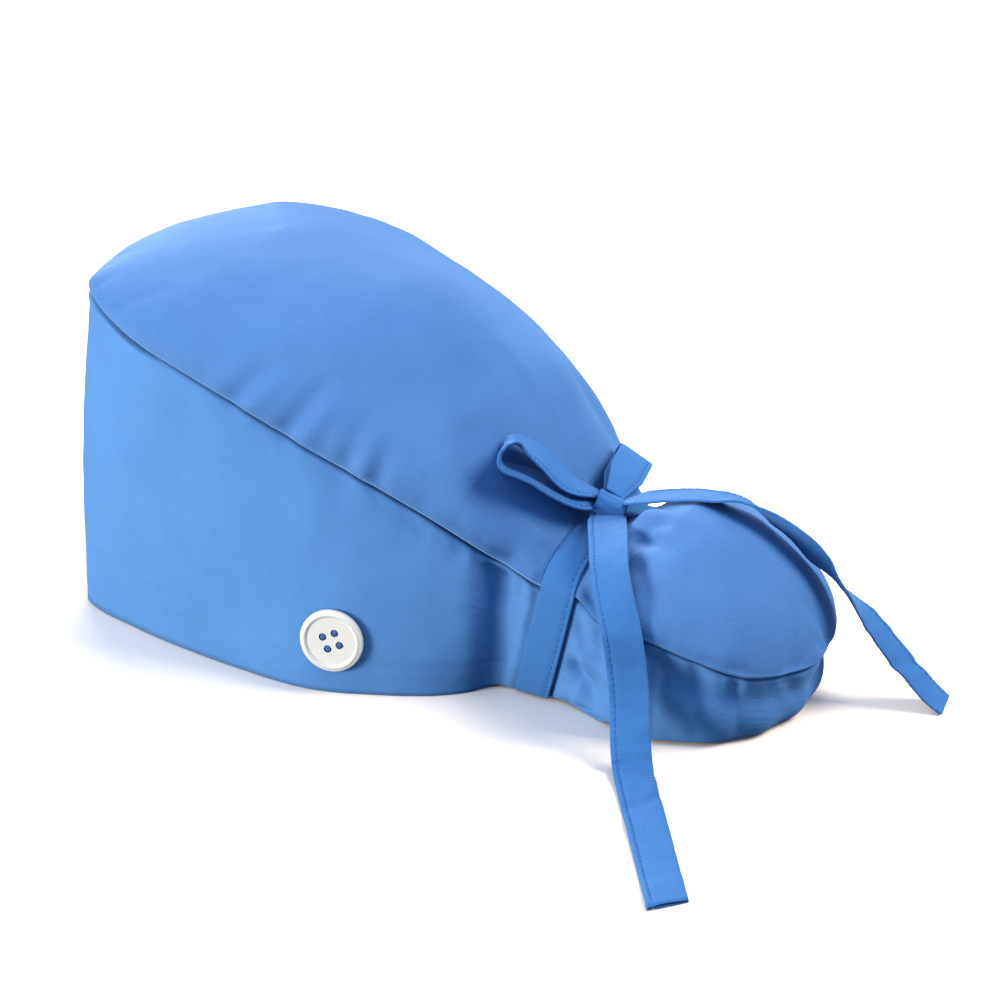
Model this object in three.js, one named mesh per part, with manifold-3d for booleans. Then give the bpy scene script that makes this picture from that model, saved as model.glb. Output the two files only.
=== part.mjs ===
// A tie-back scrub cap with a pouch for a ponytail: an egg-shaped crown panel, a side band sewn
// round it, two ties wrapped up over the neck into a bow, and a button over each ear.
// Millimetres, +Z up, +X the wearer's left, -Y the front.
// The origin is on the floor, in the middle of the cloth at the front of the rim.
import * as THREE from "three";
import { mergeVertices } from "three/addons/utils/BufferGeometryUtils.js";
import Module from "manifold-3d";

const wasm = await Module();
wasm.setup();

// Head part: rim length to the ties, width, height of the band in front, rise of the crown over it
const headLength = 245.5;
const headWidth = 174.5;
const frontHeight = 146;
const crownRise = 17.5;

// Neck, where the ties squeeze the cloth
const neckWidth = 85;
const neckHeight = 67;

// Pouch for the ponytail
const pouchLength = 99;
const pouchWidth = 114;
const pouchHeight = 82;

// Cloth
const clothThickness = 1.8;
const bandBulge = 3;
const crownPuff = 2.5;
const gap = 0.3;

// Ties and bow
const tieWidth = 16;
const tieThickness = 1.6;
const knotLength = 13;
const knotRadius = 5;
const knotSetback = 2.5;
const loopOpening = 8.5;
const tailFloorRun = 103;
const tailHeading = 38.5;

// Buttons
const buttonDiameter = 27;
const buttonThickness = 3;
const buttonRimWidth = 2.4;
const buttonDish = 0.8;
const buttonHoleDiameter = 3.3;
const buttonHoleSpacing = 5.5;
const buttonTurn = 21;

// Fullness of the crown's arch: 2 is an ellipse
const CROWN_EXPONENT = 1.74;

// What the shares in each zone of the section table are shares of
const ZONES = {
  head: { half: headWidth / 2, start: 0, length: headLength, band: frontHeight, top: frontHeight + crownRise },
  neck: { half: neckWidth / 2, start: 0, length: headLength, band: neckHeight, top: neckHeight },
  pouch: { half: pouchWidth / 2, start: headLength, length: pouchLength, band: pouchHeight, top: pouchHeight },
};

// Sections from the front to the rear of one side. Rim, seam and ridge are where the band meets the
// floor, where the crown is sewn on, and the top of the crown. Curl turns the band in under the pouch.
// Seat moves a section forward or back by a share of the tie's width, to lie along the tie's edge.
const SECTION_COLUMNS = [
  "place", "zone", "rimX", "rimY", "seamX", "seamY", "seamZ", "ridgeY", "ridgeZ", "curl", "seat",
];
const SECTIONS = [
  ["front", "head", 0, 0, 0, 0.036, 1, 0.338, 1, 0, 0],
  ["brow", "head", 0.758, 0.082, 0.688, 0.106, 0.994, 0.338, 1, 0, 0],
  ["temple", "head", 0.955, 0.352, 0.99, 0.343, 0.893, 0.338, 1, 0, 0],
  ["ear", "head", 1, 0.594, 0.892, 0.595, 0.715, 0.596, 0.949, 0, 0],
  ["nape", "head", 0.758, 0.811, 0.718, 0.816, 0.536, 0.832, 0.778, 0, 0],
  ["tie front", "neck", 0.901, 0.955, 0.99, 1.014, 0.75, 1, 1, 0.2, -0.34],
  ["tie rear", "neck", 0.901, 0.955, 0.99, 1.014, 0.75, 1, 1, 0.4, 0.46],
  ["shoulder", "pouch", 0.76, 0.2, 0.78, 0.27, 0.52, 0.269, 0.954, 0.8, 0],
  ["side", "pouch", 0.87, 0.508, 1, 0.466, 0.577, 0.426, 1, 1, 0],
  ["corner", "pouch", 0.491, 0.817, 0.63, 0.893, 0.381, 0.426, 1, 1, 0],
  ["rear", "pouch", 0, 0.864, 0, 1, 0.32, 0.426, 1, 1, 0],
].map((row) => record(SECTION_COLUMNS, row));

// Folds of one side, as lines on the cloth. Height is 0 at the rim, 1 at the seam and 2 at the ridge.
// Width is a share of the tie's width, depth a share of the cloth's thickness, below 0 for a valley.
const FOLD_COLUMNS = ["section1", "height1", "section2", "height2", "width", "depth"];
const FOLDS = [
  [2.56, 1.04, 2.72, 1.3, 0.3, -0.9],
  [2.94, 1.04, 3.12, 1.34, 0.32, -1.4],
  [3.38, 1.04, 3.42, 1.26, 0.28, -0.8],
  [3.62, 1.03, 3.63, 1.24, 0.26, -1],
  [3.3, 0.99, 3.36, 0.74, 0.5, -0.7],
  [4.1, 1.5, 4.58, 1.16, 0.5, -0.9],
  [4.6, 0.95, 4.64, 0.1, 0.42, -2],
  [4.36, 0.9, 4.4, 0.2, 0.6, 0.9],
  [6.62, 1.12, 7.04, 1.02, 0.3, -1],
  [6.5, 0.5, 6.95, 0.4, 0.3, -1.2],
  [6.7, 1.72, 7.9, 1.6, 0.34, 1.2],
  [6.7, 1.6, 7.7, 1.46, 0.34, -1.6],
  [9.6, 1.04, 9.84, 1.3, 0.3, -1],
].map((row) => record(FOLD_COLUMNS, row));

// Fullness drawn in along the hem of the pouch: ripples of the band that fade towards the seam
const HEM_RIPPLES = { from: 6.6, count: 5, depth: 1.1 };

// Steps along one side, in sections, and heights of the rows of each panel
const SECTION_STEPS = 60;
const BAND_HEIGHTS = [0, 0.1, 0.28, 0.48, 0.68, 0.86, 1];
const CROWN_HEIGHTS = [1, 1.05, 1.13, 1.24, 1.38, 1.53, 1.68, 1.82, 1.93, 2];

// Where the parts of the bow lie on the cap: section and height of a place, and its lift off the
// cloth as a share of the tie's width. Start is where a strip leaves the knot: shares of the knot's
// length along it and of its radius up. Roll turns a loop's cloth on edge, in degrees, and skew
// slants the fold at its tip.
const TIE_SECTION = 5.5;
const LOOPS = {
  bow_loop_left: {
    side: 1, section: 4.26, height: 1.46, lift: 0.54, roll: -50, skew: -0.36, opening: 1,
    start: { along: -0.3, up: 0.1 },
  },
  bow_loop_right: {
    side: -1, section: 4.57, height: 1.4, lift: 0.36, roll: -28, skew: 0, opening: 0.5,
    start: { along: -0.02, up: 0.44 },
  },
};
const LOOP_OUTLINE_COLUMNS = ["along", "open"];
const LOOP_OUTLINE = [
  [0.3, 0.12],
  [0.62, 0.06],
  [0.9, 0],
  [1, 0.36],
  [0.96, 0.84],
  [0.78, 0.98],
  [0.42, 0.72],
].map((row) => record(LOOP_OUTLINE_COLUMNS, row));

// The left tail hangs down the side of the pouch, then runs out over the floor
const LEFT_TAIL_COLUMNS = ["section", "height", "lift"];
const LEFT_TAIL = [
  [6.66, 1.62, 0.3],
  [7.0, 1.4, 0.28],
  [7.52, 1.22, 0.24],
  [7.96, 1.04, 0.28],
  [8.09, 0.82, 0.36],
].map((row) => record(LEFT_TAIL_COLUMNS, row));
const LEFT_TAIL_START = { along: -0.2, up: -0.3 };
const TAIL_FOOT = { out: 1.25, fall: 0.36, spread: 0.62 };

// The right tail passes over the pouch, twists behind it and ends on the floor. Across is a share of
// half the pouch's width, along of its length from the ties, up of its height.
const RIGHT_TAIL_COLUMNS = ["across", "along", "up", "roll"];
const RIGHT_TAIL = [
  [-0.05, 0.144, 0.94, -3],
  [-0.15, 0.35, 0.99, -3],
  [-0.18, 0.488, 1.01, -6],
  [-0.21, 0.593, 1.01, -22],
  [-0.25, 0.715, 0.945, -42],
  [-0.31, 0.826, 0.855, -44],
  [-0.39, 0.917, 0.713, -38],
  [-0.44, 0.997, 0.595, -16],
  [-0.53, 1.091, 0.44, 14],
  [-0.63, 1.206, 0.246, 18],
  [-0.71, 1.305, 0.09, 14],
  [-0.76, 1.385, 0, 6],
].map((row) => record(RIGHT_TAIL_COLUMNS, row));
const RIGHT_TAIL_START = { along: 0.36, up: 0.1 };

// Rows of a tie from the rim to the middle of the neck, and places across it
const TIE_HEIGHTS = [0.05, 0.2, 0.4, 0.6, 0.8, 1, 1.1, 1.2, 1.32, 1.46, 1.6, 1.74, 1.88, 2];
const TIE_SHARES = [-0.5, -0.25, 0, 0.25, 0.5];

// Height of the middle of a strip that lies on the floor, and steps between two places of a strip
const onFloor = tieThickness / 2 + gap / 2;
const RIBBON_STEPS = 4;

const BUTTON_PLACE = { section: 3.36, height: 0.25 };

const clothMaterial = new THREE.MeshStandardMaterial({ color: "#4a8bd0", roughness: 0.92, metalness: 0 });
const bandMaterial = new THREE.MeshStandardMaterial({ color: "#4586cc", roughness: 0.92, metalness: 0 });
const tieMaterial = new THREE.MeshStandardMaterial({ color: "#5294d6", roughness: 0.9, metalness: 0 });
const buttonMaterial = new THREE.MeshStandardMaterial({ color: "#e6e7e2", roughness: 0.4, metalness: 0 });

function record(columns, row) {
  return Object.fromEntries(columns.map((name, i) => [name, row[i]]));
}

// Value of a row of numbers at a place between them, smooth and never past its neighbours. The row
// goes on past both ends as its mirror image, turned over where the value changes sign there.
function smooth(values, place, odd) {
  const last = values.length - 1;
  const sign = odd ? -1 : 1;
  const at = (i) => (i < 0 ? sign * values[-i] : i > last ? sign * values[2 * last - i] : values[i]);
  const slope = (i) => {
    const before = at(i) - at(i - 1);
    const after = at(i + 1) - at(i);
    return before * after <= 0 ? 0 : (2 * before * after) / (before + after);
  };
  const i = Math.min(Math.floor(place), last - 1);
  const t = place - i;
  const a = at(i);
  const b = at(i + 1);
  return (
    a +
    (b - a) * t * t * (3 - 2 * t) +
    slope(i) * t * (1 - t) * (1 - t) -
    slope(i + 1) * t * t * (1 - t)
  );
}

const column = (pick) => SECTIONS.map((row) => pick(row, ZONES[row.zone]));
const PROFILE = {
  rimX: column((row, zone) => row.rimX * zone.half),
  rimY: column((row, zone) => zone.start + row.rimY * zone.length + row.seat * tieWidth),
  seamX: column((row, zone) => row.seamX * zone.half),
  seamY: column((row, zone) => zone.start + row.seamY * zone.length + row.seat * tieWidth),
  seamZ: column((row, zone) => row.seamZ * zone.band),
  ridgeY: column((row, zone) => zone.start + row.ridgeY * zone.length + row.seat * tieWidth),
  ridgeZ: column((row, zone) => row.ridgeZ * zone.top),
  curl: column((row) => row.curl),
};

function sectionAt(section) {
  const at = (name, odd) => smooth(PROFILE[name], section, odd);
  return {
    rim: new THREE.Vector3(at("rimX", true), at("rimY"), 0),
    seam: new THREE.Vector3(at("seamX", true), at("seamY"), at("seamZ")),
    ridge: new THREE.Vector3(0, at("ridgeY"), at("ridgeZ")),
    curl: at("curl"),
  };
}

// Outer face of the plain cap, on the left side: the band from height 0 to 1, the crown from 1 to 2
function capPoint(section, height) {
  const { rim, seam, ridge, curl } = sectionAt(section);
  if (height <= 1) {
    const turn = (height * Math.PI) / 2;
    const share = THREE.MathUtils.lerp(height, Math.sin(turn), curl);
    const rise = THREE.MathUtils.lerp(height, 1 - Math.cos(turn), curl);
    const bulge = bandBulge * 4 * height * (1 - height) * (1 - curl);
    const out = new THREE.Vector3(rim.x, rim.y - ridge.y, 0).normalize();
    const point = rim.clone().lerp(seam, share).addScaledVector(out, bulge);
    return point.setZ(seam.z * rise);
  }
  const turn = ((Math.min(height, 2) - 1) * Math.PI) / 2;
  const inward = height >= 2 ? 0 : Math.cos(turn) ** (2 / CROWN_EXPONENT);
  const rise = Math.sin(turn) ** (2 / CROWN_EXPONENT);
  const point = ridge.clone().lerp(seam, inward);
  return point.setZ(THREE.MathUtils.lerp(seam.z, ridge.z, rise));
}

function capNormal(section, height) {
  const step = 0.02;
  const along = capPoint(section + step, height).sub(capPoint(section - step, height));
  const low = Math.min(Math.max(height, step), 2 - 2 * step);
  const up = capPoint(section, low + step).sub(capPoint(section, low - step));
  return along.cross(up).normalize();
}

const mirrored = (point) => new THREE.Vector3(-point.x, point.y, point.z);

// Distance from a point to a line between two points
function distanceToLine(point, start, end) {
  const along = end.clone().sub(start);
  const t = THREE.MathUtils.clamp(point.clone().sub(start).dot(along) / along.lengthSq(), 0, 1);
  return point.distanceTo(start.clone().addScaledVector(along, t));
}

const foldLines = FOLDS.map((fold) => ({
  start: capPoint(fold.section1, fold.height1),
  end: capPoint(fold.section2, fold.height2),
  width: fold.width * tieWidth,
  depth: fold.depth * clothThickness,
}));

// How far folds, puff and ripples push the cloth out of its plain face. It stays flat under the tie
// and under the button.
function relief(section, height) {
  const point = capPoint(section, height);
  let push = 0;
  for (const fold of foldLines) {
    const far = distanceToLine(point, fold.start, fold.end) / fold.width;
    push += fold.depth * Math.exp(-far * far);
  }
  if (height > 1) {
    const rise = height - 1;
    push += crownPuff * 4 * Math.min(rise, 0.5) * Math.exp(-rise * 4);
  }
  const { from, count, depth } = HEM_RIPPLES;
  if (height <= 1 && section > from) {
    const wave = Math.cos(2 * Math.PI * count * (section - from) / (SECTIONS.length - 1 - from));
    const near = Math.sin(Math.PI * Math.min(height + 0.15, 1));
    push += depth * wave * near;
  }
  const fromTie = point.distanceTo(capPoint(TIE_SECTION, height));
  const clearOfTie = THREE.MathUtils.smoothstep(fromTie, tieWidth * 0.6, tieWidth);
  const fromButton = point.distanceTo(capPoint(BUTTON_PLACE.section, BUTTON_PLACE.height));
  const clearOfButton = THREE.MathUtils.smoothstep(fromButton, buttonDiameter * 0.5, buttonDiameter * 0.8);
  return push * clearOfTie * clearOfButton;
}

// Open surface from rows of points, with the places where points meet welded
function sheetFromRows(rows) {
  const width = rows[0].length;
  const triangles = [];
  for (let i = 0; i < rows.length - 1; i++) {
    for (let j = 0; j < width - 1; j++) {
      const a = i * width + j;
      const c = a + width;
      triangles.push(a, a + 1, c + 1, a, c + 1, c);
    }
  }
  const geometry = new THREE.BufferGeometry().setFromPoints(rows.flat());
  geometry.setIndex(triangles);
  return weld(geometry);
}

// Points that meet become one, and triangles that this closes to a line are left out
function weld(geometry) {
  for (const name of Object.keys(geometry.attributes)) {
    if (name !== "position") geometry.deleteAttribute(name);
  }
  const merged = mergeVertices(geometry, 1e-3);
  const kept = [];
  const index = merged.index.array;
  for (let i = 0; i < index.length; i += 3) {
    const [a, b, c] = [index[i], index[i + 1], index[i + 2]];
    if (a !== b && b !== c && c !== a) kept.push(a, b, c);
  }
  merged.setIndex(kept);
  merged.computeVertexNormals();
  return merged;
}

const pointsOf = (geometry, name = "position") => {
  const attribute = geometry.getAttribute(name);
  return Array.from({ length: attribute.count }, (_, i) => new THREE.Vector3().fromBufferAttribute(attribute, i));
};

// Gives an open surface a wall on its inner side, closed along every edge. settle may move a point.
function thicken(sheet, thickness, settle = (inner) => inner) {
  const outer = pointsOf(sheet);
  const normals = pointsOf(sheet, "normal");
  const inner = outer.map((point, i) => settle(point.clone().addScaledVector(normals[i], -thickness), point));
  const index = Array.from(sheet.index.array);
  const count = outer.length;
  const edges = new Set();
  for (let i = 0; i < index.length; i += 3) {
    for (let k = 0; k < 3; k++) edges.add(`${index[i + k]} ${index[i + ((k + 1) % 3)]}`);
  }
  const triangles = [...index];
  for (let i = 0; i < index.length; i += 3) {
    triangles.push(count + index[i], count + index[i + 2], count + index[i + 1]);
  }
  for (const edge of edges) {
    const [a, b] = edge.split(" ").map(Number);
    if (!edges.has(`${b} ${a}`)) triangles.push(a, count + a, count + b, a, count + b, b);
  }
  const geometry = new THREE.BufferGeometry().setFromPoints([...outer, ...inner]);
  geometry.setIndex(triangles);
  geometry.computeVertexNormals();
  return geometry;
}

// Points along one side, then back along the other, at one height
function rowAt(height) {
  const last = SECTIONS.length - 1;
  const side = Array.from({ length: SECTION_STEPS + 1 }, (_, i) => (last * i) / SECTION_STEPS);
  const left = side.map((section) => ({ section, point: capPoint(section, height) }));
  const right = left.slice(1, -1).reverse();
  return [
    ...left,
    ...right.map(({ section, point }) => ({ section, point: mirrored(point) })),
    left[0],
  ];
}

// Level direction out of the cloth at the seam
function seamNormal(section, point) {
  const normal = capNormal(section, 1).setZ(0).normalize();
  return point.x < 0 ? mirrored(normal) : normal;
}

// A panel of the cap between two heights, with its folds, as an open surface facing out
function panelSheet(heights) {
  const rows = heights.map((height) => rowAt(height));
  const plain = sheetFromRows(rows.map((row) => row.map(({ point }) => point)));
  const normals = pointsOf(plain, "normal");
  const nearest = new Map(pointsOf(plain).map((point, i) => [key(point), i]));
  const folded = rows.map((row, r) =>
    row.map(({ section, point }) => {
      const normal = heights[r] === 1 ? seamNormal(section, point) : normals[nearest.get(key(point))];
      const moved = point.clone().addScaledVector(normal, relief(section, heights[r]));
      if (Math.abs(point.x) < 1e-6) moved.x = 0;
      moved.z = Math.max(moved.z, 0);
      return moved;
    }),
  );
  return sheetFromRows(folded);
}

function key(point) {
  return [point.x, point.y, point.z].map((value) => Math.round(Math.fround(value) * 100)).join(" ");
}

// Both panels end in the same level strip along the seam, so that their edges meet face to face
const seamInner = new Map(
  rowAt(1).map(({ section, point }) => {
    const normal = seamNormal(section, point);
    const outer = point.clone().addScaledVector(normal, relief(section, 1));
    if (Math.abs(point.x) < 1e-6) outer.x = 0;
    return [key(outer), outer.clone().addScaledVector(normal, -clothThickness)];
  }),
);

const settleAtSeam = (inner, outer) => seamInner.get(key(outer))?.clone() ?? inner;

// The band's lower edge is flat on the floor, and turns in under the pouch
function settleOnFloor(inner, outer) {
  if (outer.z < gap && inner.z < clothThickness / 2) inner.z = 0;
  inner.z = Math.max(inner.z, 0);
  return settleAtSeam(inner, outer);
}

function sideBand() {
  return thicken(panelSheet(BAND_HEIGHTS), clothThickness, settleOnFloor);
}

// The crown's edge stands off the band's by the gap
function crown() {
  return thicken(panelSheet(CROWN_HEIGHTS), clothThickness, settleAtSeam).translate(0, 0, gap);
}

// The section that lies a distance across from the tie's middle line, at one height
function sectionAcross(height, distance) {
  const middle = capPoint(TIE_SECTION, height);
  const step = 0.05;
  const reach = 1.4;
  const halvings = 24;
  const up = capPoint(TIE_SECTION, Math.min(height + step, 2));
  up.sub(capPoint(TIE_SECTION, Math.max(height - step, 0))).normalize();
  let near = TIE_SECTION;
  let far = TIE_SECTION + Math.sign(distance) * reach;
  for (let i = 0; i < halvings && distance !== 0; i++) {
    const section = (near + far) / 2;
    const offset = capPoint(section, height).sub(middle);
    offset.addScaledVector(up, -offset.dot(up));
    if (offset.length() < Math.abs(distance)) near = section;
    else far = section;
  }
  return near;
}

// One tie, from the rim up over the band and the crown to the middle of the neck
function tie(side) {
  const lift = gap * 3 + tieThickness;
  const rows = TIE_HEIGHTS.map((height) =>
    TIE_SHARES.map((share) => {
      const section = sectionAcross(height, share * tieWidth);
      const point = capPoint(section, height).addScaledVector(capNormal(section, height), lift);
      point.x = height === 2 ? gap / 2 : Math.max(point.x, gap / 2);
      point.z = Math.max(point.z, tieThickness / 2);
      return side > 0 ? point : mirrored(point);
    }),
  );
  if (side < 0) rows.forEach((row) => row.reverse());
  const stayOnOwnSide = (inner, outer) => {
    inner.x = outer.x * side < gap ? outer.x : side * Math.max(inner.x * side, gap / 2);
    inner.z = Math.max(inner.z, 0);
    return inner;
  };
  return thicken(sheetFromRows(rows), tieThickness, stayOnOwnSide);
}

// Flat strip of cloth along a curve through places. facing(row, tangent) gives the direction of its
// width at a row of the curve's places, and it is squeezed to its start width at the knot.
function ribbon(places, facing, squeezed) {
  const curve = new THREE.CatmullRomCurve3(places, false, "centripetal");
  const steps = (places.length - 1) * RIBBON_STEPS;
  const rings = [];
  for (let i = 0; i <= steps; i++) {
    const t = i / steps;
    const middle = curve.getPoint(t);
    const tangent = curve.getTangent(t);
    const width = facing(t * (places.length - 1), tangent);
    width.addScaledVector(tangent, -width.dot(tangent)).normalize();
    const normal = tangent.clone().cross(width).normalize();
    const half = (squeezed(t) * tieWidth) / 2;
    const lowest = gap / 2 + half * Math.abs(width.z) + (tieThickness / 2) * Math.abs(normal.z);
    middle.z = Math.max(middle.z, lowest);
    const corner = (a, b) =>
      middle.clone().addScaledVector(width, a * half).addScaledVector(normal, (b * tieThickness) / 2);
    rings.push([corner(-1, -1), corner(1, -1), corner(1, 1), corner(-1, 1)]);
  }
  const corners = 4;
  const triangles = [];
  for (let i = 0; i < steps; i++) {
    for (let k = 0; k < corners; k++) {
      const a = i * corners + k;
      const b = i * corners + ((k + 1) % corners);
      triangles.push(a, b, b + corners, a, b + corners, a + corners);
    }
  }
  const end = steps * corners;
  triangles.push(0, 2, 1, 0, 3, 2, end, end + 1, end + 2, end, end + 2, end + 3);
  const geometry = new THREE.BufferGeometry().setFromPoints(rings.flat());
  geometry.setIndex(triangles);
  return geometry;
}

function toSolid(geometry) {
  const merged = weld(geometry);
  return new wasm.Manifold(
    new wasm.Mesh({
      numProp: 3,
      vertProperties: merged.getAttribute("position").array,
      triVerts: new Uint32Array(merged.index.array),
    }),
  );
}

function fromSolid(solid) {
  const mesh = solid.getMesh();
  const geometry = new THREE.BufferGeometry();
  geometry.setAttribute("position", new THREE.BufferAttribute(new Float32Array(mesh.vertProperties), 3));
  geometry.setIndex(Array.from(mesh.triVerts));
  geometry.computeVertexNormals();
  return geometry;
}

// The knot is a short barrel of wrapped tie, seated on the ties at the middle of the neck
const neckRidge = capPoint(TIE_SECTION, 2);
const tieTop = neckRidge.z + 3 * gap + tieThickness;
// How far the knot stands off the ties, in gaps, and how round its ends are, as a share of its radius
const KNOT_STAND_OFF = 1.7;
const KNOT_ROUNDING = 0.55;
const knotHeight = tieTop + KNOT_STAND_OFF * gap + knotRadius;
const knotCentre = new THREE.Vector3(0, neckRidge.y + knotSetback, knotHeight);
const KNOT_AXIS = new THREE.Vector3(-0.55, 0.83, -0.05).normalize();

function knotShape(grow) {
  const radius = knotRadius + grow;
  const half = knotLength / 2 + grow;
  const corner = radius * KNOT_ROUNDING;
  const profile = new THREE.Path();
  profile.moveTo(0, -half);
  profile.lineTo(radius - corner, -half);
  profile.absarc(radius - corner, -half + corner, corner, -Math.PI / 2, 0, false);
  profile.absarc(radius - corner, half - corner, corner, 0, Math.PI / 2, false);
  profile.lineTo(0, half);
  const geometry = new THREE.LatheGeometry(profile.getPoints(3), 16);
  const turn = new THREE.Quaternion().setFromUnitVectors(new THREE.Vector3(0, 1, 0), KNOT_AXIS);
  return weld(geometry.applyQuaternion(turn).translate(knotCentre.x, knotCentre.y, knotCentre.z));
}

// A strip that starts inside the knot ends a gap outside it
const clearOfKnot = (geometry) => fromSolid(toSolid(geometry).subtract(toSolid(knotShape(gap))));

// Where a strip starts inside the knot
function startInKnot({ along, up }) {
  const point = knotCentre.clone().addScaledVector(KNOT_AXIS, along * knotLength);
  return point.setZ(point.z + up * knotRadius);
}

// Width of a strip in the knot, as a share of its full width, and how soon along it the strip is full
const SQUEEZE = { loop: 0.5, tail: 0.6, growth: 4 };
const LOOP_TIP = LOOP_OUTLINE[3];

// One loop of the bow, from the knot out over the crown and back
function bowLoop({ side, section, height, lift, roll, skew, opening, start }) {
  const onSide = (vector) => (side > 0 ? vector : mirrored(vector));
  const normal = onSide(capNormal(section, height));
  const tip = onSide(capPoint(section, height)).addScaledVector(normal, lift * tieWidth);
  const origin = startInKnot(start);
  const along = tip.sub(origin);
  const length = along.length();
  along.normalize();
  const width = along.clone().cross(normal).normalize();
  width.applyAxisAngle(along, -THREE.MathUtils.degToRad(roll * side));
  const open = along.clone().cross(width).normalize();
  if (open.dot(normal) < 0) open.negate();
  width.addScaledVector(along, skew);
  const place = (a, b) => origin.clone().addScaledVector(along, a).addScaledVector(open, b);
  const apart = (tieThickness + 2 * gap) / 2;
  const outline = LOOP_OUTLINE.map((row) => {
    const rise = row.open * loopOpening * opening;
    return place(row.along * length, rise + (row.open < LOOP_TIP.open ? 0 : apart));
  });
  const squeezed = (t) => Math.min(1, SQUEEZE.loop + SQUEEZE.growth * Math.min(t, 1 - t));
  return clearOfKnot(ribbon([place(0, -apart), ...outline, place(0, apart)], () => width.clone(), squeezed));
}

// Places of the free end's rows on the floor, as shares of its run there
const TAIL_FLOOR_SHARES = [0.15, 0.5, 1];
const squeezedAtKnot = (t) => Math.min(1, SQUEEZE.tail + SQUEEZE.growth * t);

function leftTail() {
  const rows = LEFT_TAIL.map(({ section, height, lift }) => {
    const normal = capNormal(section, height);
    const off = lift * tieWidth + tieThickness / 2;
    return { point: capPoint(section, height).addScaledVector(normal, off), normal };
  });
  const heading = THREE.MathUtils.degToRad(tailHeading);
  const out = new THREE.Vector3(Math.cos(heading), Math.sin(heading), 0);
  const last = rows.at(-1).point;
  const foot = last.clone().addScaledVector(out, TAIL_FOOT.out * tieWidth).setZ(onFloor);
  const halfway = last.clone().lerp(foot, TAIL_FOOT.spread).setZ(last.z * TAIL_FOOT.fall);
  const slope = new THREE.Vector3(out.x, out.y, 1).normalize();
  const up = new THREE.Vector3(0, 0, 1);
  rows.push({ point: halfway, normal: out.clone() }, { point: foot, normal: slope });
  for (const share of TAIL_FLOOR_SHARES) {
    rows.push({ point: foot.clone().addScaledVector(out, share * tailFloorRun), normal: up });
  }
  rows.unshift({ point: startInKnot(LEFT_TAIL_START), normal: rows[0].normal });
  const facing = (row, tangent) => {
    const i = Math.min(Math.floor(row), rows.length - 2);
    return rows[i].normal.clone().lerp(rows[i + 1].normal, row - i).cross(tangent);
  };
  return clearOfKnot(ribbon(rows.map(({ point }) => point), facing, squeezedAtKnot));
}

function rightTail() {
  const places = RIGHT_TAIL.map(({ across, along, up }) => {
    const height = onFloor + up * pouchHeight;
    return new THREE.Vector3((across * pouchWidth) / 2, headLength + along * pouchLength, height);
  });
  const rolls = [0, ...RIGHT_TAIL.map((row) => row.roll)];
  const facing = (row, tangent) => {
    const level = new THREE.Vector3(-tangent.y, tangent.x, 0).normalize();
    return level.applyAxisAngle(tangent, THREE.MathUtils.degToRad(smooth(rolls, row, false)));
  };
  return clearOfKnot(ribbon([startInKnot(RIGHT_TAIL_START), ...places], facing, squeezedAtKnot));
}

// A flat button with a raised rim and four holes
function button() {
  const radius = buttonDiameter / 2;
  const edge = buttonThickness * 0.25;
  const floor = buttonThickness - buttonDish;
  const profile = [
    [0, 0],
    [radius - edge, 0],
    [radius, edge],
    [radius, buttonThickness - edge],
    [radius - edge, buttonThickness],
    [radius - buttonRimWidth, buttonThickness],
    [radius - buttonRimWidth - buttonDish, floor],
    [0, floor],
  ].map(([x, y]) => new THREE.Vector2(x, y));
  let solid = toSolid(new THREE.LatheGeometry(profile, 28));
  for (const [x, z] of [[1, 1], [1, -1], [-1, -1], [-1, 1]]) {
    const hole = new THREE.CylinderGeometry(
      buttonHoleDiameter / 2, buttonHoleDiameter / 2, buttonThickness * 3, 10,
    );
    hole.translate((x * buttonHoleSpacing) / 2, 0, (z * buttonHoleSpacing) / 2);
    solid = solid.subtract(toSolid(hole));
  }
  return fromSolid(solid);
}

function named(name, geometry, material) {
  const mesh = new THREE.Mesh(geometry, material.clone());
  mesh.name = name;
  return mesh;
}

// A button's flat back seated against the band, its holes turned as sewn
function seatedButton(name, side) {
  const { section, height } = BUTTON_PLACE;
  const normal = capNormal(section, height);
  const point = capPoint(section, height).addScaledVector(normal, gap);
  const mesh = named(name, button(), buttonMaterial);
  const facing = side > 0 ? normal : mirrored(normal);
  mesh.quaternion.setFromUnitVectors(new THREE.Vector3(0, 1, 0), facing);
  mesh.rotateY(THREE.MathUtils.degToRad(buttonTurn * side));
  mesh.position.copy(side > 0 ? point : mirrored(point));
  return mesh;
}

const panels = new THREE.Group();
panels.add(named("crown", crown(), clothMaterial));
panels.add(named("side_band", sideBand(), bandMaterial));

const bow = new THREE.Group();
bow.add(named("tie_left", tie(1), tieMaterial));
bow.add(named("tie_right", tie(-1), tieMaterial));
bow.add(named("knot", knotShape(0), tieMaterial));
for (const [name, place] of Object.entries(LOOPS)) bow.add(named(name, bowLoop(place), tieMaterial));
bow.add(named("tail_left", leftTail(), tieMaterial));
bow.add(named("tail_right", rightTail(), tieMaterial));

const buttons = new THREE.Group();
buttons.add(seatedButton("button_left", 1));
buttons.add(seatedButton("button_right", -1));

const group = new THREE.Group();
group.add(panels, bow, buttons);
group.position.y = -clothThickness / 2;

export default group;
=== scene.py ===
"""A tie-back scrub cap with a ponytail pouch, resting on a pale floor.

The cap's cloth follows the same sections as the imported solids, in millimetres, and is cut much finer:
folds, gathers and puckers, a rolled seam, hemmed ties with their stitching, and sewn-on buttons.
"""
import math
import random

import bmesh
import bpy
import numpy as np
from mathutils import Matrix, Vector, noise


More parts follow.
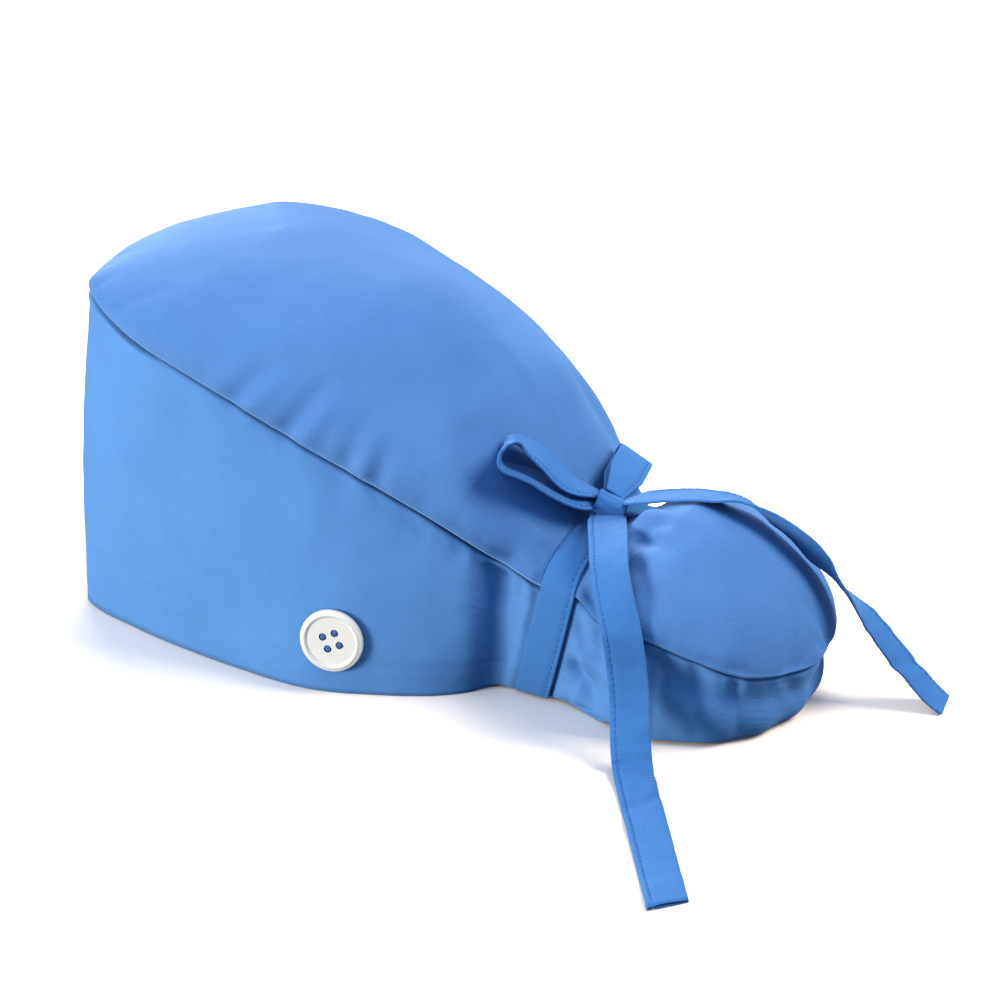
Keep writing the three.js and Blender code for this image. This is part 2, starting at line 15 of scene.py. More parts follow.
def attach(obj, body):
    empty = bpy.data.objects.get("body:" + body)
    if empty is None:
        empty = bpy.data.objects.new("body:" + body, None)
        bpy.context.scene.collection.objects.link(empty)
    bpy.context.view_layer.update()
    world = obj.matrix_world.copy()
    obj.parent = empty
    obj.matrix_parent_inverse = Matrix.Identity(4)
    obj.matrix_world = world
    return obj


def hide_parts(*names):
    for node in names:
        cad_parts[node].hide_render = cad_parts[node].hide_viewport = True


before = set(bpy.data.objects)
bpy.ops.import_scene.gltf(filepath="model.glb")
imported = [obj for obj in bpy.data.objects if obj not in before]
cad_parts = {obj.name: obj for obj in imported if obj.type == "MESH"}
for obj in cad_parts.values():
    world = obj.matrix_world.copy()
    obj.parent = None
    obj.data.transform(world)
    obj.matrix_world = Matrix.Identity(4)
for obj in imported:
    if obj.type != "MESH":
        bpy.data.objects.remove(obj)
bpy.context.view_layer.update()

MM = 0.001

# Sizes of the cap, as in the solids
CLOTH = 1.8
BAND_BULGE = 3.0
CROWN_PUFF = 3.2
PUFF_HEIGHT = 0.15
GAP = 0.3
TIE_WIDTH = 16.0
TIE_THICKNESS = 1.6
KNOT_LENGTH = 13.0
KNOT_RADIUS = 5.0
KNOT_SETBACK = 2.5
LOOP_OPENING = 8.5
TAIL_FLOOR_RUN = 103.0
TAIL_HEADING = 38.5
CROWN_EXPONENT = 1.74
ORIGIN_SHIFT = -CLOTH / 2

BUTTON_DIAMETER = 27.0
BUTTON_THICKNESS = 3.0
BUTTON_RIM = 2.4
BUTTON_DISH = 0.8
HOLE_DIAMETER = 3.3
HOLE_SPACING = 5.5
BUTTON_TURN = 21.0
BUTTON_SECTION = 3.36
BUTTON_HEIGHT = 0.25

# Thickness that shows at an edge, of the panels and of a folded and stitched tie
PANEL_WALL = 1.0
STRIP_WALL = 1.5

HEAD_LENGTH = 245.5
HEAD_WIDTH = 174.5
FRONT_HEIGHT = 146.0
CROWN_RISE = 17.5
NECK_WIDTH = 85
NECK_HEIGHT = 67.0
POUCH_LENGTH = 99.0
POUCH_WIDTH = 114.0
POUCH_HEIGHT = 82.0
ZONES = {
    "head": {"half": HEAD_WIDTH / 2, "start": 0, "length": HEAD_LENGTH,
             "band": FRONT_HEIGHT, "top": FRONT_HEIGHT + CROWN_RISE},
    "neck": {"half": NECK_WIDTH / 2, "start": 0, "length": HEAD_LENGTH,
             "band": NECK_HEIGHT, "top": NECK_HEIGHT},
    "pouch": {"half": POUCH_WIDTH / 2, "start": HEAD_LENGTH, "length": POUCH_LENGTH,
              "band": POUCH_HEIGHT, "top": POUCH_HEIGHT},
}

# Sections of one side from the front to the rear, as shares of their zone
SECTION_COLUMNS = ("zone", "rimX", "rimY", "seamX", "seamY", "seamZ", "ridgeY", "ridgeZ", "curl", "seat")
SECTIONS = [dict(zip(SECTION_COLUMNS, row)) for row in (
    ("head", 0, 0, 0, 0.036, 1, 0.338, 1, 0, 0),
    ("head", 0.758, 0.082, 0.688, 0.106, 0.994, 0.338, 1, 0, 0),
    ("head", 0.955, 0.352, 0.99, 0.343, 0.893, 0.338, 1, 0, 0),
    ("head", 1, 0.594, 0.892, 0.595, 0.715, 0.596, 0.949, 0, 0),
    ("head", 0.758, 0.811, 0.718, 0.816, 0.536, 0.832, 0.778, 0, 0),
    ("neck", 0.901, 0.955, 0.99, 1.014, 0.75, 1, 1, 0.2, -0.34),
    ("neck", 0.901, 0.955, 0.99, 1.014, 0.75, 1, 1, 0.4, 0.46),
    ("pouch", 0.76, 0.2, 0.78, 0.27, 0.52, 0.269, 0.954, 0.8, 0),
    ("pouch", 0.87, 0.508, 1, 0.466, 0.577, 0.426, 1, 1, 0),
    ("pouch", 0.491, 0.817, 0.63, 0.893, 0.381, 0.426, 1, 1, 0),
    ("pouch", 0, 0.864, 0, 1, 0.32, 0.426, 1, 1, 0),
)]
LAST = len(SECTIONS) - 1
TIE_SECTION = 5.5

# Folds on both sides, from one place (section, height) to another; width and depth in millimetres.
# Height is 0 at the rim, 1 at the seam and 2 at the ridge. A depth below 0 is a valley.
FOLD_COLUMNS = ("section1", "height1", "section2", "height2", "width", "depth")
FOLDS = [dict(zip(FOLD_COLUMNS, row)) for row in (
    (2.56, 1.04, 2.72, 1.3, 4.4, -2.3),
    (2.66, 1.04, 2.84, 1.24, 3.6, 0.9),
    (2.94, 1.04, 3.12, 1.34, 4.6, -3.0),
    (3.06, 1.03, 3.2, 1.26, 3.4, 1.0),
    (3.38, 1.04, 3.42, 1.26, 4.2, -2.0),
    (3.62, 1.03, 3.63, 1.24, 3.8, -2.2),
    (3.5, 1.03, 3.52, 1.2, 3.2, 0.9),
    (3.3, 0.99, 3.36, 0.74, 8, -1.26),
    (4.1, 1.5, 4.58, 1.16, 8, -1.6),
    (4.54, 0.95, 4.64, 0.02, 8.0, -6.0),
    (4.36, 0.9, 4.4, 0.2, 9.6, 1.8),
    (4.86, 0.94, 4.98, 0.05, 4.4, 2.2),
    (4.86, 1.4, 5.04, 1.1, 4.2, -2.6),
    (6.62, 1.12, 7.04, 1.02, 4.8, -1.8),
    (6.5, 0.52, 7.0, 0.36, 3.8, -3.2),
    (6.6, 0.62, 6.95, 0.56, 3.4, 1.4),
    (6.45, 1.96, 6.78, 1.95, 3.6, -4.0),
    (6.88, 1.86, 8.3, 1.83, 4.6, 1.5),
    (7.3, 1.75, 8.5, 1.73, 3.2, -1.3),
    (7.1, 1.66, 8.1, 1.62, 4.4, -3.4),
    (7.5, 1.54, 8.4, 1.53, 3.8, 1.0),
    (7.8, 1.44, 8.25, 1.26, 5.0, -1.8),
    (6.72, 0.98, 6.9, 0.72, 3.6, 1.3),
    (9.6, 1.04, 9.84, 1.3, 4.8, -1.8),
    (9.72, 1.0, 9.98, 1.15, 3, -1.4),
    (9.56, 1.0, 9.82, 0.66, 3.4, -1.4),
    (8.58, 0.96, 8.56, 0.36, 3.2, -1.8),
    (8.9, 1.02, 8.96, 0.36, 3.4, -1.9),
    (8.32, 0.96, 8.16, 0.26, 3.2, -1.3),
    (8.74, 0.9, 8.74, 0.4, 4, 1.2),
)]

# Steps round each panel and up it, and how closely the rows crowd towards the seam
ROUND_STEPS = 620
CROWN_ROWS = 62
CROWN_CROWDING = 1.6
BAND_ROWS = 60
BAND_CROWDING = 1.5


def smooth(values, place, odd=False):
    """A column of the table at places between its rows, smooth and never past its neighbours."""
    values = np.asarray(values, float)
    sign = -1.0 if odd else 1.0
    full = np.concatenate([sign * values[1:2], values, sign * values[-2:-1]])
    before, after = full[1:-1] - full[:-2], full[2:] - full[1:-1]
    same = before * after > 0
    slope = np.where(same, 2 * before * after / np.where(same, before + after, 1), 0)
    place = np.clip(np.asarray(place, float), 0, LAST)
    i = np.minimum(place.astype(int), len(values) - 2)
    t = place - i
    a, b = values[i], values[i + 1]
    return (a + (b - a) * t * t * (3 - 2 * t) + slope[i] * t * (1 - t) ** 2
            - slope[i + 1] * t * t * (1 - t))


def column(pick):
    return [pick(row, ZONES[row["zone"]]) for row in SECTIONS]


def along_y(name):
    return column(lambda row, zone: zone["start"] + row[name] * zone["length"] + row["seat"] * TIE_WIDTH)


PROFILE = {
    "rimX": column(lambda row, zone: row["rimX"] * zone["half"]),
    "rimY": along_y("rimY"),
    "seamX": column(lambda row, zone: row["seamX"] * zone["half"]),
    "seamY": along_y("seamY"),
    "seamZ": column(lambda row, zone: row["seamZ"] * zone["band"]),
    "ridgeY": along_y("ridgeY"),
    "ridgeZ": column(lambda row, zone: row["ridgeZ"] * zone["top"]),
    "curl": column(lambda row, zone: row["curl"]),
}


def cap_points(section, height):
    """Points of the plain cap's left side, in mm: the band from height 0 to 1, the crown from 1 to 2."""
    section, height = np.broadcast_arrays(np.asarray(section, float), np.asarray(height, float))
    at = {name: smooth(values, section, name in ("rimX", "seamX")) for name, values in PROFILE.items()}
    low = np.clip(height, 0, 1)
    turn = low * math.pi / 2
    share = low + (np.sin(turn) - low) * at["curl"]
    rise = low + (1 - np.cos(turn) - low) * at["curl"]
    bulge = BAND_BULGE * 4 * low * (1 - low) * (1 - at["curl"])
    out_x, out_y = at["rimX"], at["rimY"] - at["ridgeY"]
    out = np.hypot(out_x, out_y)
    band = np.stack([
        at["rimX"] + (at["seamX"] - at["rimX"]) * share + out_x / out * bulge,
        at["rimY"] + (at["seamY"] - at["rimY"]) * share + out_y / out * bulge,
        at["seamZ"] * rise,
    ], -1)
    high = np.clip(height, 1, 2) - 1
    inward = np.clip(np.cos(high * math.pi / 2), 0, 1) ** (2 / CROWN_EXPONENT)
    lift = np.sin(high * math.pi / 2) ** (2 / CROWN_EXPONENT)
    crown = np.stack([
        at["seamX"] * inward,
        at["ridgeY"] + (at["seamY"] - at["ridgeY"]) * inward,
        at["seamZ"] + (at["ridgeZ"] - at["seamZ"]) * lift,
    ], -1)
    return np.where((height <= 1)[..., None], band, crown)


def unit(vectors):
    return vectors / np.maximum(np.linalg.norm(vectors, axis=-1, keepdims=True), 1e-9)


def cap_normals(section, height):
    """Directions out of the plain cap's left side."""
    step = 0.02
    section, height = np.broadcast_arrays(np.asarray(section, float), np.asarray(height, float))
    along = cap_points(section + step, height) - cap_points(section - step, height)
    low = np.clip(height, step, 2 - 2 * step)
    up = cap_points(section, low + step) - cap_points(section, low - step)
    return unit(np.cross(along, up))


def cap_point(section, height):
    return Vector(cap_points(section, height))


def cap_normal(section, height):
    return Vector(cap_normals(section, height))


def smoothstep(value, low, high):
    t = np.clip((value - low) / (high - low), 0, 1)
    return t * t * (3 - 2 * t)


def hump(distance, place, width):
    """A smooth rise to 1 at a place, gone about two widths away from it."""
    return np.exp(-((distance - place) / width) ** 2)


# Share of its depth that a fold has lost at its far end
FOLD_FADE = 0.6


def fold_push(points):
    """How far the folds move points of the left side out, in mm. Each fades towards its far end."""
    push = np.zeros(points.shape[:-1])
    for fold in FOLDS:
        start = cap_points(fold["section1"], fold["height1"])
        line = cap_points(fold["section2"], fold["height2"]) - start
        t = np.clip((points - start) @ line / (line @ line), 0, 1)
        away = np.linalg.norm(points - start - t[..., None] * line, axis=-1)
        push += fold["depth"] * (1 - FOLD_FADE * t * t) * hump(away, 0, fold["width"])
    return push


# The fullness that the ties draw in, before and behind them, in mm: depth, reach and where it starts
GATHER_DEPTHS = {"front": 0.4, "rear": 1.5}
GATHER_REACHES = {"front": 22.0, "rear": 20.0}
GATHER_START, GATHER_FULL, GATHER_FADES = 6, 14, 12
GATHER_PITCHES = (3.1, 2.0)
NECK_GIRTH = 52


def gather_push(height, points, side):
    """Ridges that leave the neck and fade over the head and the pouch."""
    from_tie = points[..., 1] - cap_points(TIE_SECTION, height)[..., 1]
    rear = from_tie > 0
    reach = np.where(rear, GATHER_REACHES["rear"], GATHER_REACHES["front"])
    depth = np.where(rear, GATHER_DEPTHS["rear"], GATHER_DEPTHS["front"])
    near = np.abs(from_tie)
    fade = (smoothstep(near, GATHER_START, GATHER_FULL)
            * np.exp(-np.clip(near - GATHER_FADES, 0, None) / reach))
    drift = 0.9 * np.sin(near / 13 + 5 * height + side) + 0.5 * np.sin(near / 7 + 11 * height)
    round_neck = NECK_GIRTH * height
    waves = (0.55 * np.cos(round_neck / GATHER_PITCHES[0] + drift + 2 * side)
             + 0.45 * np.cos(round_neck / GATHER_PITCHES[1] + 1.4 * drift + 1 + side))
    return depth * fade * waves


# Distance from the seam at which a crease has its full depth
PUCKER_START = 2.5


def pucker_push(seam_length, from_seam, puckers):
    """Short creases that start at the seam, where one panel is eased on to the other."""
    push = np.zeros(seam_length.shape)
    for place, width, reach, skew, depth in puckers:
        spread = width * (1 + from_seam / (2 * reach))
        crease = hump(seam_length - skew * from_seam, place, spread) * hump(from_seam, 0, reach)
        push += depth * crease * smoothstep(from_seam, 0, PUCKER_START)
    return push


def ripple_noise(points, size, seed):
    """Slow random waves of the cloth, from -1 to 1, one value a point."""
    offset = Vector((seed * 17.3, seed * 5.1, seed * 9.7))
    flat = points.reshape(-1, 3)
    values = [noise.noise(Vector(p) / size + offset) for p in flat]
    return np.array(values).reshape(points.shape[:-1])


# Shares of the tie's and the button's width within which the cloth lies flat, and past which it is free
TIE_HELD, TIE_FREE = 0.52, 0.85
BUTTON_HELD, BUTTON_FREE = 0.5, 0.8


def clear_of_tie_and_button(height, points):
    """1 where the cloth is free, 0 where a tie or a button holds it flat."""
    from_tie = np.linalg.norm(points - cap_points(TIE_SECTION, height), axis=-1)
    button = cap_points(BUTTON_SECTION, BUTTON_HEIGHT)
    from_button = np.linalg.norm(points - button, axis=-1)
    return (smoothstep(from_tie, TIE_WIDTH * TIE_HELD, TIE_WIDTH * TIE_FREE)
            * smoothstep(from_button, BUTTON_DIAMETER * BUTTON_HELD, BUTTON_DIAMETER * BUTTON_FREE))


# How much closer the columns stand from the neck on, and the sections between which they close up
REAR_CROWDING = 0.9
CROWDS_FROM, CROWDS_TO = 3.8, 4.8


def even_round():
    """Places round the cap, from 0 to 2 * LAST, close together at the neck and on the pouch."""
    fine = np.linspace(0, LAST, 2001)
    seam = cap_points(fine, 1.0)
    step = np.linalg.norm(np.diff(seam, axis=0), axis=1)
    middle = (fine[1:] + fine[:-1]) / 2
    weight = 1 + REAR_CROWDING * smoothstep(middle, CROWDS_FROM, CROWDS_TO)
    total = np.concatenate([[0], np.cumsum(step * weight)])
    half = np.interp(np.linspace(0, total[-1], ROUND_STEPS // 2 + 1), total, fine)
    return np.concatenate([half, 2 * LAST - half[-2::-1]])


ROUND = even_round()


def side_of(place):
    """Section and side, 1 left or -1 right, of places round the cap."""
    return np.where(place <= LAST, place, 2 * LAST - place), np.where(place <= LAST, 1.0, -1.0)


def on_side(vectors, side):
    flip = np.ones(vectors.shape)
    flip[..., 0] = side
    return vectors * flip


# Creases along the seam: where they start along it, the seed of each side, and runs of them, in mm. A run
# has its end, then the ranges from which width, reach, skew, depth and the step to the next one are drawn.
PUCKERS = {
    "crown": {"start": 40.0, "seeds": {1: 11, -1: 29}, "runs": (
        (265, (2.4, 4.4), (8, 20), (-0.1, 0.6), (0.35, 0.8), (11, 24)),
        (430, (1.8, 3.2), (6, 14), (-0.3, 0.3), (0.3, 0.7), (6, 12)),
    )},
    "band": {"start": 250.0, "seeds": {1: 12, -1: 30}, "runs": (
        (440, (1.5, 2.8), (5, 13), (-0.25, 0.25), (0.35, 0.95), (4.5, 8)),
    )},
}


def drawn_puckers(kind, side):
    """The creases of one side of a panel, drawn from its ranges."""
    rng = random.Random(PUCKERS[kind]["seeds"][side])
    made, place = [], PUCKERS[kind]["start"]
    for end, width, reach, skew, depth, step in PUCKERS[kind]["runs"]:
        while place < end:
            made.append((place, rng.uniform(*width), rng.uniform(*reach), rng.uniform(*skew),
                         -rng.uniform(*depth)))
            place += rng.uniform(*step)
    return made


def lengths_along(points, axis):
    step = np.linalg.norm(np.diff(points, axis=axis), axis=-1)
    zero = np.zeros(np.take(step, [0], axis=axis).shape)
    return np.concatenate([zero, np.cumsum(step, axis=axis)], axis=axis)


# Relief of the panels, in mm. Pairs are the sections between which it comes in or goes out.
SWELL_IN, SWELL_OUT, SWELL_LOST = (0.6, 2.2), (4.5, 6), 0.85
SCALLOP_FROM, SCALLOPS, SCALLOP_DEPTH = 6.6, 5, 0.6
HEM_HEIGHT, HEM_WIDTH, HEM_DEPTH, HEM_END, HEM_FADE = 13, 0.8, 0.5, 8.0, 1.5
HOLLOW_PLACE, HOLLOW_WIDTH, HOLLOW_DEPTH, HOLLOW_IN = 11, 7, 2.8, (7.0, 8.2)

# Ripples of the cloth: height, length and seed of each
RIPPLES = ((0.7, 34, 1), (0.3, 13, 2))

# The seam, where the crown rolls over the band and gapes at the front. In the slit's pairs the second number
# is what a full gape adds.
GAPE_IN, GAPE_OUT, GAPE_DROP, GAPE_REACH = (0.7, 1.2), (1.6, 2.1), 2.0, 4.0
LIP_SINK, LIP_RISE, LIP_GAPE, LIP_RADIUS, LIP_REACH = 0.2, 1.7, 0.8, 0.9, 9
RIDGE_PLACE, RIDGE_WIDTH, RIDGE_RISE = 1.0, 0.55, 0.4
GROOVE_WIDTH, GROOVE_DEPTH = 1.6, 1.2
SLIT_WIDTH, SLIT_DEPTH = (0.8, 0.6), (1.8, 6.0)
SHOULDER_PLACE, SHOULDER_WIDTH, SHOULDER_RISE, SHOULDER_OUT = 4, 3, 1.1, (0.9, 1.5)
SEAM_HOLDS, SEAM_SHARE, SEAM_BLEND = 5, 0.25, 3

# The crown's relief goes out by the ridge, where both sides meet
RIDGE_FLAT, RIDGE_EDGE = (1.9, 2.0), 1.995

# Height of the cloth over the floor: least, the shares of its wall that it gains where the band turns in
# under the neck and the pouch, and how softly it is lifted there
FLOOR_LEAST = 0.05
UNDER_NECK, UNDER_NECK_SHARE = (4.7, 5.2), 0.85
UNDER_POUCH, UNDER_POUCH_SHARE = (6.3, 6.9), 0.15
FLOOR_EASE = (0.02, 0.5)

# The painted highlight on the seam's ridge ends here: its distance is carried past the shader's range
HIGHLIGHT_OUT, HIGHLIGHT_PAST = (5.6, 6.4), 9


def panel_relief(kind, section, height, up, from_seam):
    """The fullness of the crown above the seam, or the band's scallops, hem line and hollow."""
    if kind == "crown":
        rise = height - 1
        swell = smoothstep(section, *SWELL_IN) * (1 - SWELL_LOST * smoothstep(section, *SWELL_OUT))
        return CROWN_PUFF * swell * rise / PUFF_HEIGHT * np.exp(1 - rise / PUFF_HEIGHT)
    wave = np.cos(2 * math.pi * SCALLOPS * (section - SCALLOP_FROM) / (LAST - SCALLOP_FROM))
    level = np.sin(math.pi * np.minimum(height + 0.15, 1))
    return (np.where(section > SCALLOP_FROM, SCALLOP_DEPTH * wave * level, 0)
            - HEM_DEPTH * hump(up, HEM_HEIGHT, HEM_WIDTH) * smoothstep(HEM_END - section, 0, HEM_FADE)
            - HOLLOW_DEPTH * hump(from_seam, HOLLOW_PLACE, HOLLOW_WIDTH) * smoothstep(section, *HOLLOW_IN))


def seam_relief(kind, section, from_seam, gape):
    """The crown's rolled lip and the ridge of its edge, or the band's groove and shoulder under them."""
    if kind == "crown":
        lip = LIP_RISE * smoothstep(section, *GAPE_IN) - LIP_SINK + LIP_GAPE * gape
        roll = (1 - np.exp(-from_seam / LIP_RADIUS)) * np.exp(-from_seam / LIP_REACH)
        return lip * roll + RIDGE_RISE * hump(from_seam, RIDGE_PLACE, RIDGE_WIDTH)
    slit_width = SLIT_WIDTH[0] + SLIT_WIDTH[1] * gape
    slit_depth = SLIT_DEPTH[0] + SLIT_DEPTH[1] * gape
    shoulder = SHOULDER_RISE * (1 - smoothstep(section, *SHOULDER_OUT))
    return (shoulder * hump(from_seam, SHOULDER_PLACE, SHOULDER_WIDTH)
            - GROOVE_DEPTH * hump(from_seam, 0, GROOVE_WIDTH) - slit_depth * hump(from_seam, 0, slit_width))


def off_floor(z, section):
    """Heights of the cloth, lifted softly clear of the floor."""
    neck = smoothstep(section, *UNDER_NECK)
    pouch = smoothstep(section, *UNDER_POUCH)
    lowest = FLOOR_LEAST + PANEL_WALL * (UNDER_NECK_SHARE * neck + UNDER_POUCH_SHARE * pouch)
    above = z - lowest
    return lowest + (above + np.sqrt(above ** 2 + (FLOOR_EASE[0] + FLOOR_EASE[1] * neck))) / 2


def panel_points(heights, kind):
    """Rows of points of a panel with all its relief, the two lengths in mm that its weave follows, and the
    distance from the seam by which a painted highlight is drawn along its ridge."""
    section, side = side_of(ROUND)
    section = np.broadcast_to(section, (len(heights), len(section)))
    side = np.broadcast_to(side, section.shape)
    height = np.broadcast_to(heights[:, None], section.shape)
    plain = cap_points(section, height)
    normal = cap_normals(section, height)
    seam = cap_points(section[:1], np.ones((1, section.shape[1])))
    seam_length = np.broadcast_to(lengths_along(on_side(seam, side[:1]), 1), section.shape)
    seam_length = np.where(side > 0, seam_length, seam_length[:, -1:] - seam_length)
    up = lengths_along(plain, 0)
    from_seam = up if kind == "crown" else up[-1:] - up

    push = fold_push(plain) + gather_push(height, plain, side)
    for one_side in (1, -1):
        creases = pucker_push(seam_length, from_seam, drawn_puckers(kind, one_side))
        push += np.where(side == one_side, creases, 0)
    push += panel_relief(kind, section, height, up, from_seam)
    for rise, size, seed in RIPPLES:
        push += rise * ripple_noise(on_side(plain, side), size, seed)
    push *= clear_of_tie_and_button(height, plain)
    push *= SEAM_SHARE + (1 - SEAM_SHARE) * smoothstep(from_seam, 0, SEAM_HOLDS)
    push *= 1 - smoothstep(height, *RIDGE_FLAT)
    gape = smoothstep(section, *GAPE_IN) * (1 - smoothstep(section, *GAPE_OUT))
    push += seam_relief(kind, section, from_seam, gape)

    level = unit(normal * [1, 1, 0])
    blend = np.exp(-from_seam / SEAM_BLEND)[..., None]
    direction = unit(normal * (1 - blend) + level * blend)
    direction = np.where((height > RIDGE_EDGE)[..., None], normal * [0, 1, 1], direction)
    points = on_side(plain + direction * push[..., None], side)
    if kind == "band":
        points[..., 2] -= GAPE_DROP * gape * hump(from_seam, 0, GAPE_REACH)
    points[..., 2] = off_floor(points[..., 2], section)
    points[..., 1] += ORIGIN_SHIFT
    # Distance by which the painted highlight along the ridge is drawn, carried past its range towards the
    # rear
    highlight_distance = from_seam + HIGHLIGHT_PAST * smoothstep(section, *HIGHLIGHT_OUT)
    if kind == "crown":
        return points, points[..., 1], (up[-1:] - up) * side, highlight_distance
    return points, seam_length * side, from_seam, highlight_distance


def grid_mesh(points, along, across, from_seam=None):
    """A bmesh grid whose corners are moved on to rows of points and joined where they meet, with the two
    lengths kept as its UV map."""
    rows, columns = points.shape[:2]
    bm = bmesh.new()
    bmesh.ops.create_grid(bm, x_segments=columns - 1, y_segments=rows - 1, size=1, calc_uvs=True)
    uv = bm.loops.layers.uv.verify()
    distance = bm.verts.layers.float.new("seam_distance")
    places = {}
    for vert in bm.verts:
        j = round((vert.co.x + 1) / 2 * (columns - 1))
        i = round((vert.co.y + 1) / 2 * (rows - 1))
        places[vert] = (i, j)
    for face in bm.faces:
        for loop in face.loops:
            i, j = places[loop.vert]
            loop[uv].uv = (along[i, j] * MM, across[i, j] * MM)
    for vert, (i, j) in places.items():
        vert.co = Vector(points[i, j]) * MM
        if from_seam is not None:
            vert[distance] = from_seam[i, j]
    bmesh.ops.remove_doubles(bm, verts=bm.verts, dist=0.02 * MM)
    return bm


def object_of(name, bm):
    """An object in the scene whose mesh takes over from a bmesh."""
    mesh = bpy.data.meshes.new(name)
    bm.to_mesh(mesh)
    bm.free()
    made = bpy.data.objects.new(name, mesh)
    bpy.context.scene.collection.objects.link(made)
    return made


def finish_piece(name, bm, material, nodes):
    piece = object_of(name, bm)
    for polygon in piece.data.polygons:
        polygon.use_smooth = True
    piece.data.materials.append(material)
    if nodes:
        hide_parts(*nodes)
    return piece


def wall(piece):
    """Give a panel its cloth's thickness, inwards from its outer face."""
    solid = piece.modifiers.new("wall", "SOLIDIFY")
    solid.thickness = PANEL_WALL * MM
    solid.offset = -1.0
    solid.use_even_offset = False
    return piece


def linear(hex_colour):
    """An sRGB hex colour as the linear values that a shader takes."""
    parts = [int(hex_colour[i:i + 2], 16) / 255 for i in (1, 3, 5)]
    return tuple(c / 12.92 if c <= 0.04045 else ((c + 0.055) / 1.055) ** 2.4 for c in parts) + (1.0,)


def add(tree, kind, settings=None, **links):
    """A node with its settings; each link is a value for an input, or the output that feeds it."""
    node = tree.nodes.new(kind)
    for key, value in (settings or {}).items():
        setattr(node, key, value)
    for key, value in links.items():
        socket = node.inputs[int(key[1:])] if key[1:].isdigit() else node.inputs[key.replace("_", " ")]
        if isinstance(value, bpy.types.NodeSocket):
            tree.links.new(value, socket)
        else:
            socket.default_value = value
    return node


def new_material(name):
    material = bpy.data.materials.new(name)
    material.use_nodes = True
    tree = material.node_tree
    tree.nodes.clear()
    return material, tree


# Thread spacing of the poplin, drawn three times coarser than its real 0.35 mm so that it shows
WEAVE_PITCH = 1.0 * MM

# The painted highlight on the edge of the crown's rolled seam, where its fold would catch the light: distance
# from the seam in mm, half width, strength and colour
HIGHLIGHT_PLACE, HIGHLIGHT_HALF, HIGHLIGHT_SHARE, HIGHLIGHT_COLOUR = 0.85, 0.4, 0.3, "#8fbdea"


def poplin(name, colour, shade, relief, crinkle=0.12, painted_ridge_highlight=False):
    """Plain-woven cotton blend, piece-dyed: matt, a soft pale sheen where it turns away, faint slubs."""
    material, tree = new_material(name)
    uv = add(tree, "ShaderNodeUVMap").outputs["UV"]
    place = add(tree, "ShaderNodeTexCoord").outputs["Object"]
    warp_noise = add(tree, "ShaderNodeTexNoise", Vector=uv, Scale=260.0, Detail=2.0).outputs["Fac"]
    bend = add(tree, "ShaderNodeVectorMath", {"operation": "SCALE"}, Scale=0.0016)
    shift = add(tree, "ShaderNodeCombineXYZ", X=warp_noise, Y=warp_noise)
    tree.links.new(shift.outputs[0], bend.inputs[0])
    bent = add(tree, "ShaderNodeVectorMath", {"operation": "ADD"}, _0=uv, _1=bend.outputs[0]).outputs[0]
    turns = math.pi / 10 / WEAVE_PITCH
    warp = add(tree, "ShaderNodeTexWave", {"bands_direction": "X"}, Vector=bent, Scale=turns)
    weft = add(tree, "ShaderNodeTexWave", {"bands_direction": "Y"}, Vector=bent, Scale=turns)
    weave = add(tree, "ShaderNodeMath", {"operation": "MULTIPLY"}, _0=warp.outputs["Fac"],
                _1=weft.outputs["Fac"])
    slubs = add(tree, "ShaderNodeTexNoise", Vector=place, Scale=620.0, Detail=3.0)
    grain = add(tree, "ShaderNodeMath", {"operation": "MULTIPLY_ADD"},
                _0=slubs.outputs["Fac"], _1=1.2, _2=weave.outputs[0])
    fine = add(tree, "ShaderNodeBump", Strength=relief, Distance=0.25 * MM, Height=grain.outputs[0])
    stretched = add(tree, "ShaderNodeMapping", Vector=uv, Scale=(90.0, 500.0, 1.0))
    pressed = add(tree, "ShaderNodeTexNoise", Vector=stretched.outputs[0], Scale=1.0, Detail=1.5)
    bump = add(tree, "ShaderNodeBump", Strength=crinkle, Distance=0.9 * MM, Height=pressed.outputs["Fac"],
               Normal=fine.outputs[0])
    clouds = add(tree, "ShaderNodeTexNoise", Vector=place, Scale=22.0, Detail=3.0)
    blotch = add(tree, "ShaderNodeMath", {"operation": "MULTIPLY_ADD"},
                 _0=slubs.outputs["Fac"], _1=0.5, _2=clouds.outputs["Fac"])
    ramp = add(tree, "ShaderNodeMapRange", Value=blotch.outputs[0], From_Min=0.45, From_Max=1.05)
    dye = add(tree, "ShaderNodeMix", {"data_type": "RGBA"}, Factor=ramp.outputs[0])
    dye.inputs[6].default_value = linear(shade)
    dye.inputs[7].default_value = linear(colour)
    # Painted highlight: a pale band along the rolled seam's ridge, drawn into the colour where the fold
    # catches the light
    if painted_ridge_highlight:
        from_seam = add(tree, "ShaderNodeAttribute", {"attribute_name": "seam_distance"}).outputs["Fac"]
        ridge = add(tree, "ShaderNodeMath", {"operation": "COMPARE"}, _0=from_seam, _1=HIGHLIGHT_PLACE,
                    _2=HIGHLIGHT_HALF)
        faint = add(tree, "ShaderNodeMath", {"operation": "MULTIPLY"}, _0=ridge.outputs[0],
                    _1=HIGHLIGHT_SHARE)
        dye = add(tree, "ShaderNodeMix", {"data_type": "RGBA"}, Factor=faint.outputs[0], _6=dye.outputs[2])
        dye.inputs[7].default_value = linear(HIGHLIGHT_COLOUR)
    cloth = add(tree, "ShaderNodeBsdfPrincipled", Base_Color=dye.outputs[2], Roughness=0.82,
                Normal=bump.outputs[0], IOR=1.5)
    cloth.inputs["Sheen Weight"].default_value = 0.32
    cloth.inputs["Sheen Roughness"].default_value = 0.45
    cloth.inputs["Sheen Tint"].default_value = linear("#9cc6ff")
    cloth.inputs["Specular IOR Level"].default_value = 0.15
    add(tree, "ShaderNodeOutputMaterial", Surface=cloth.outputs[0])
    return material


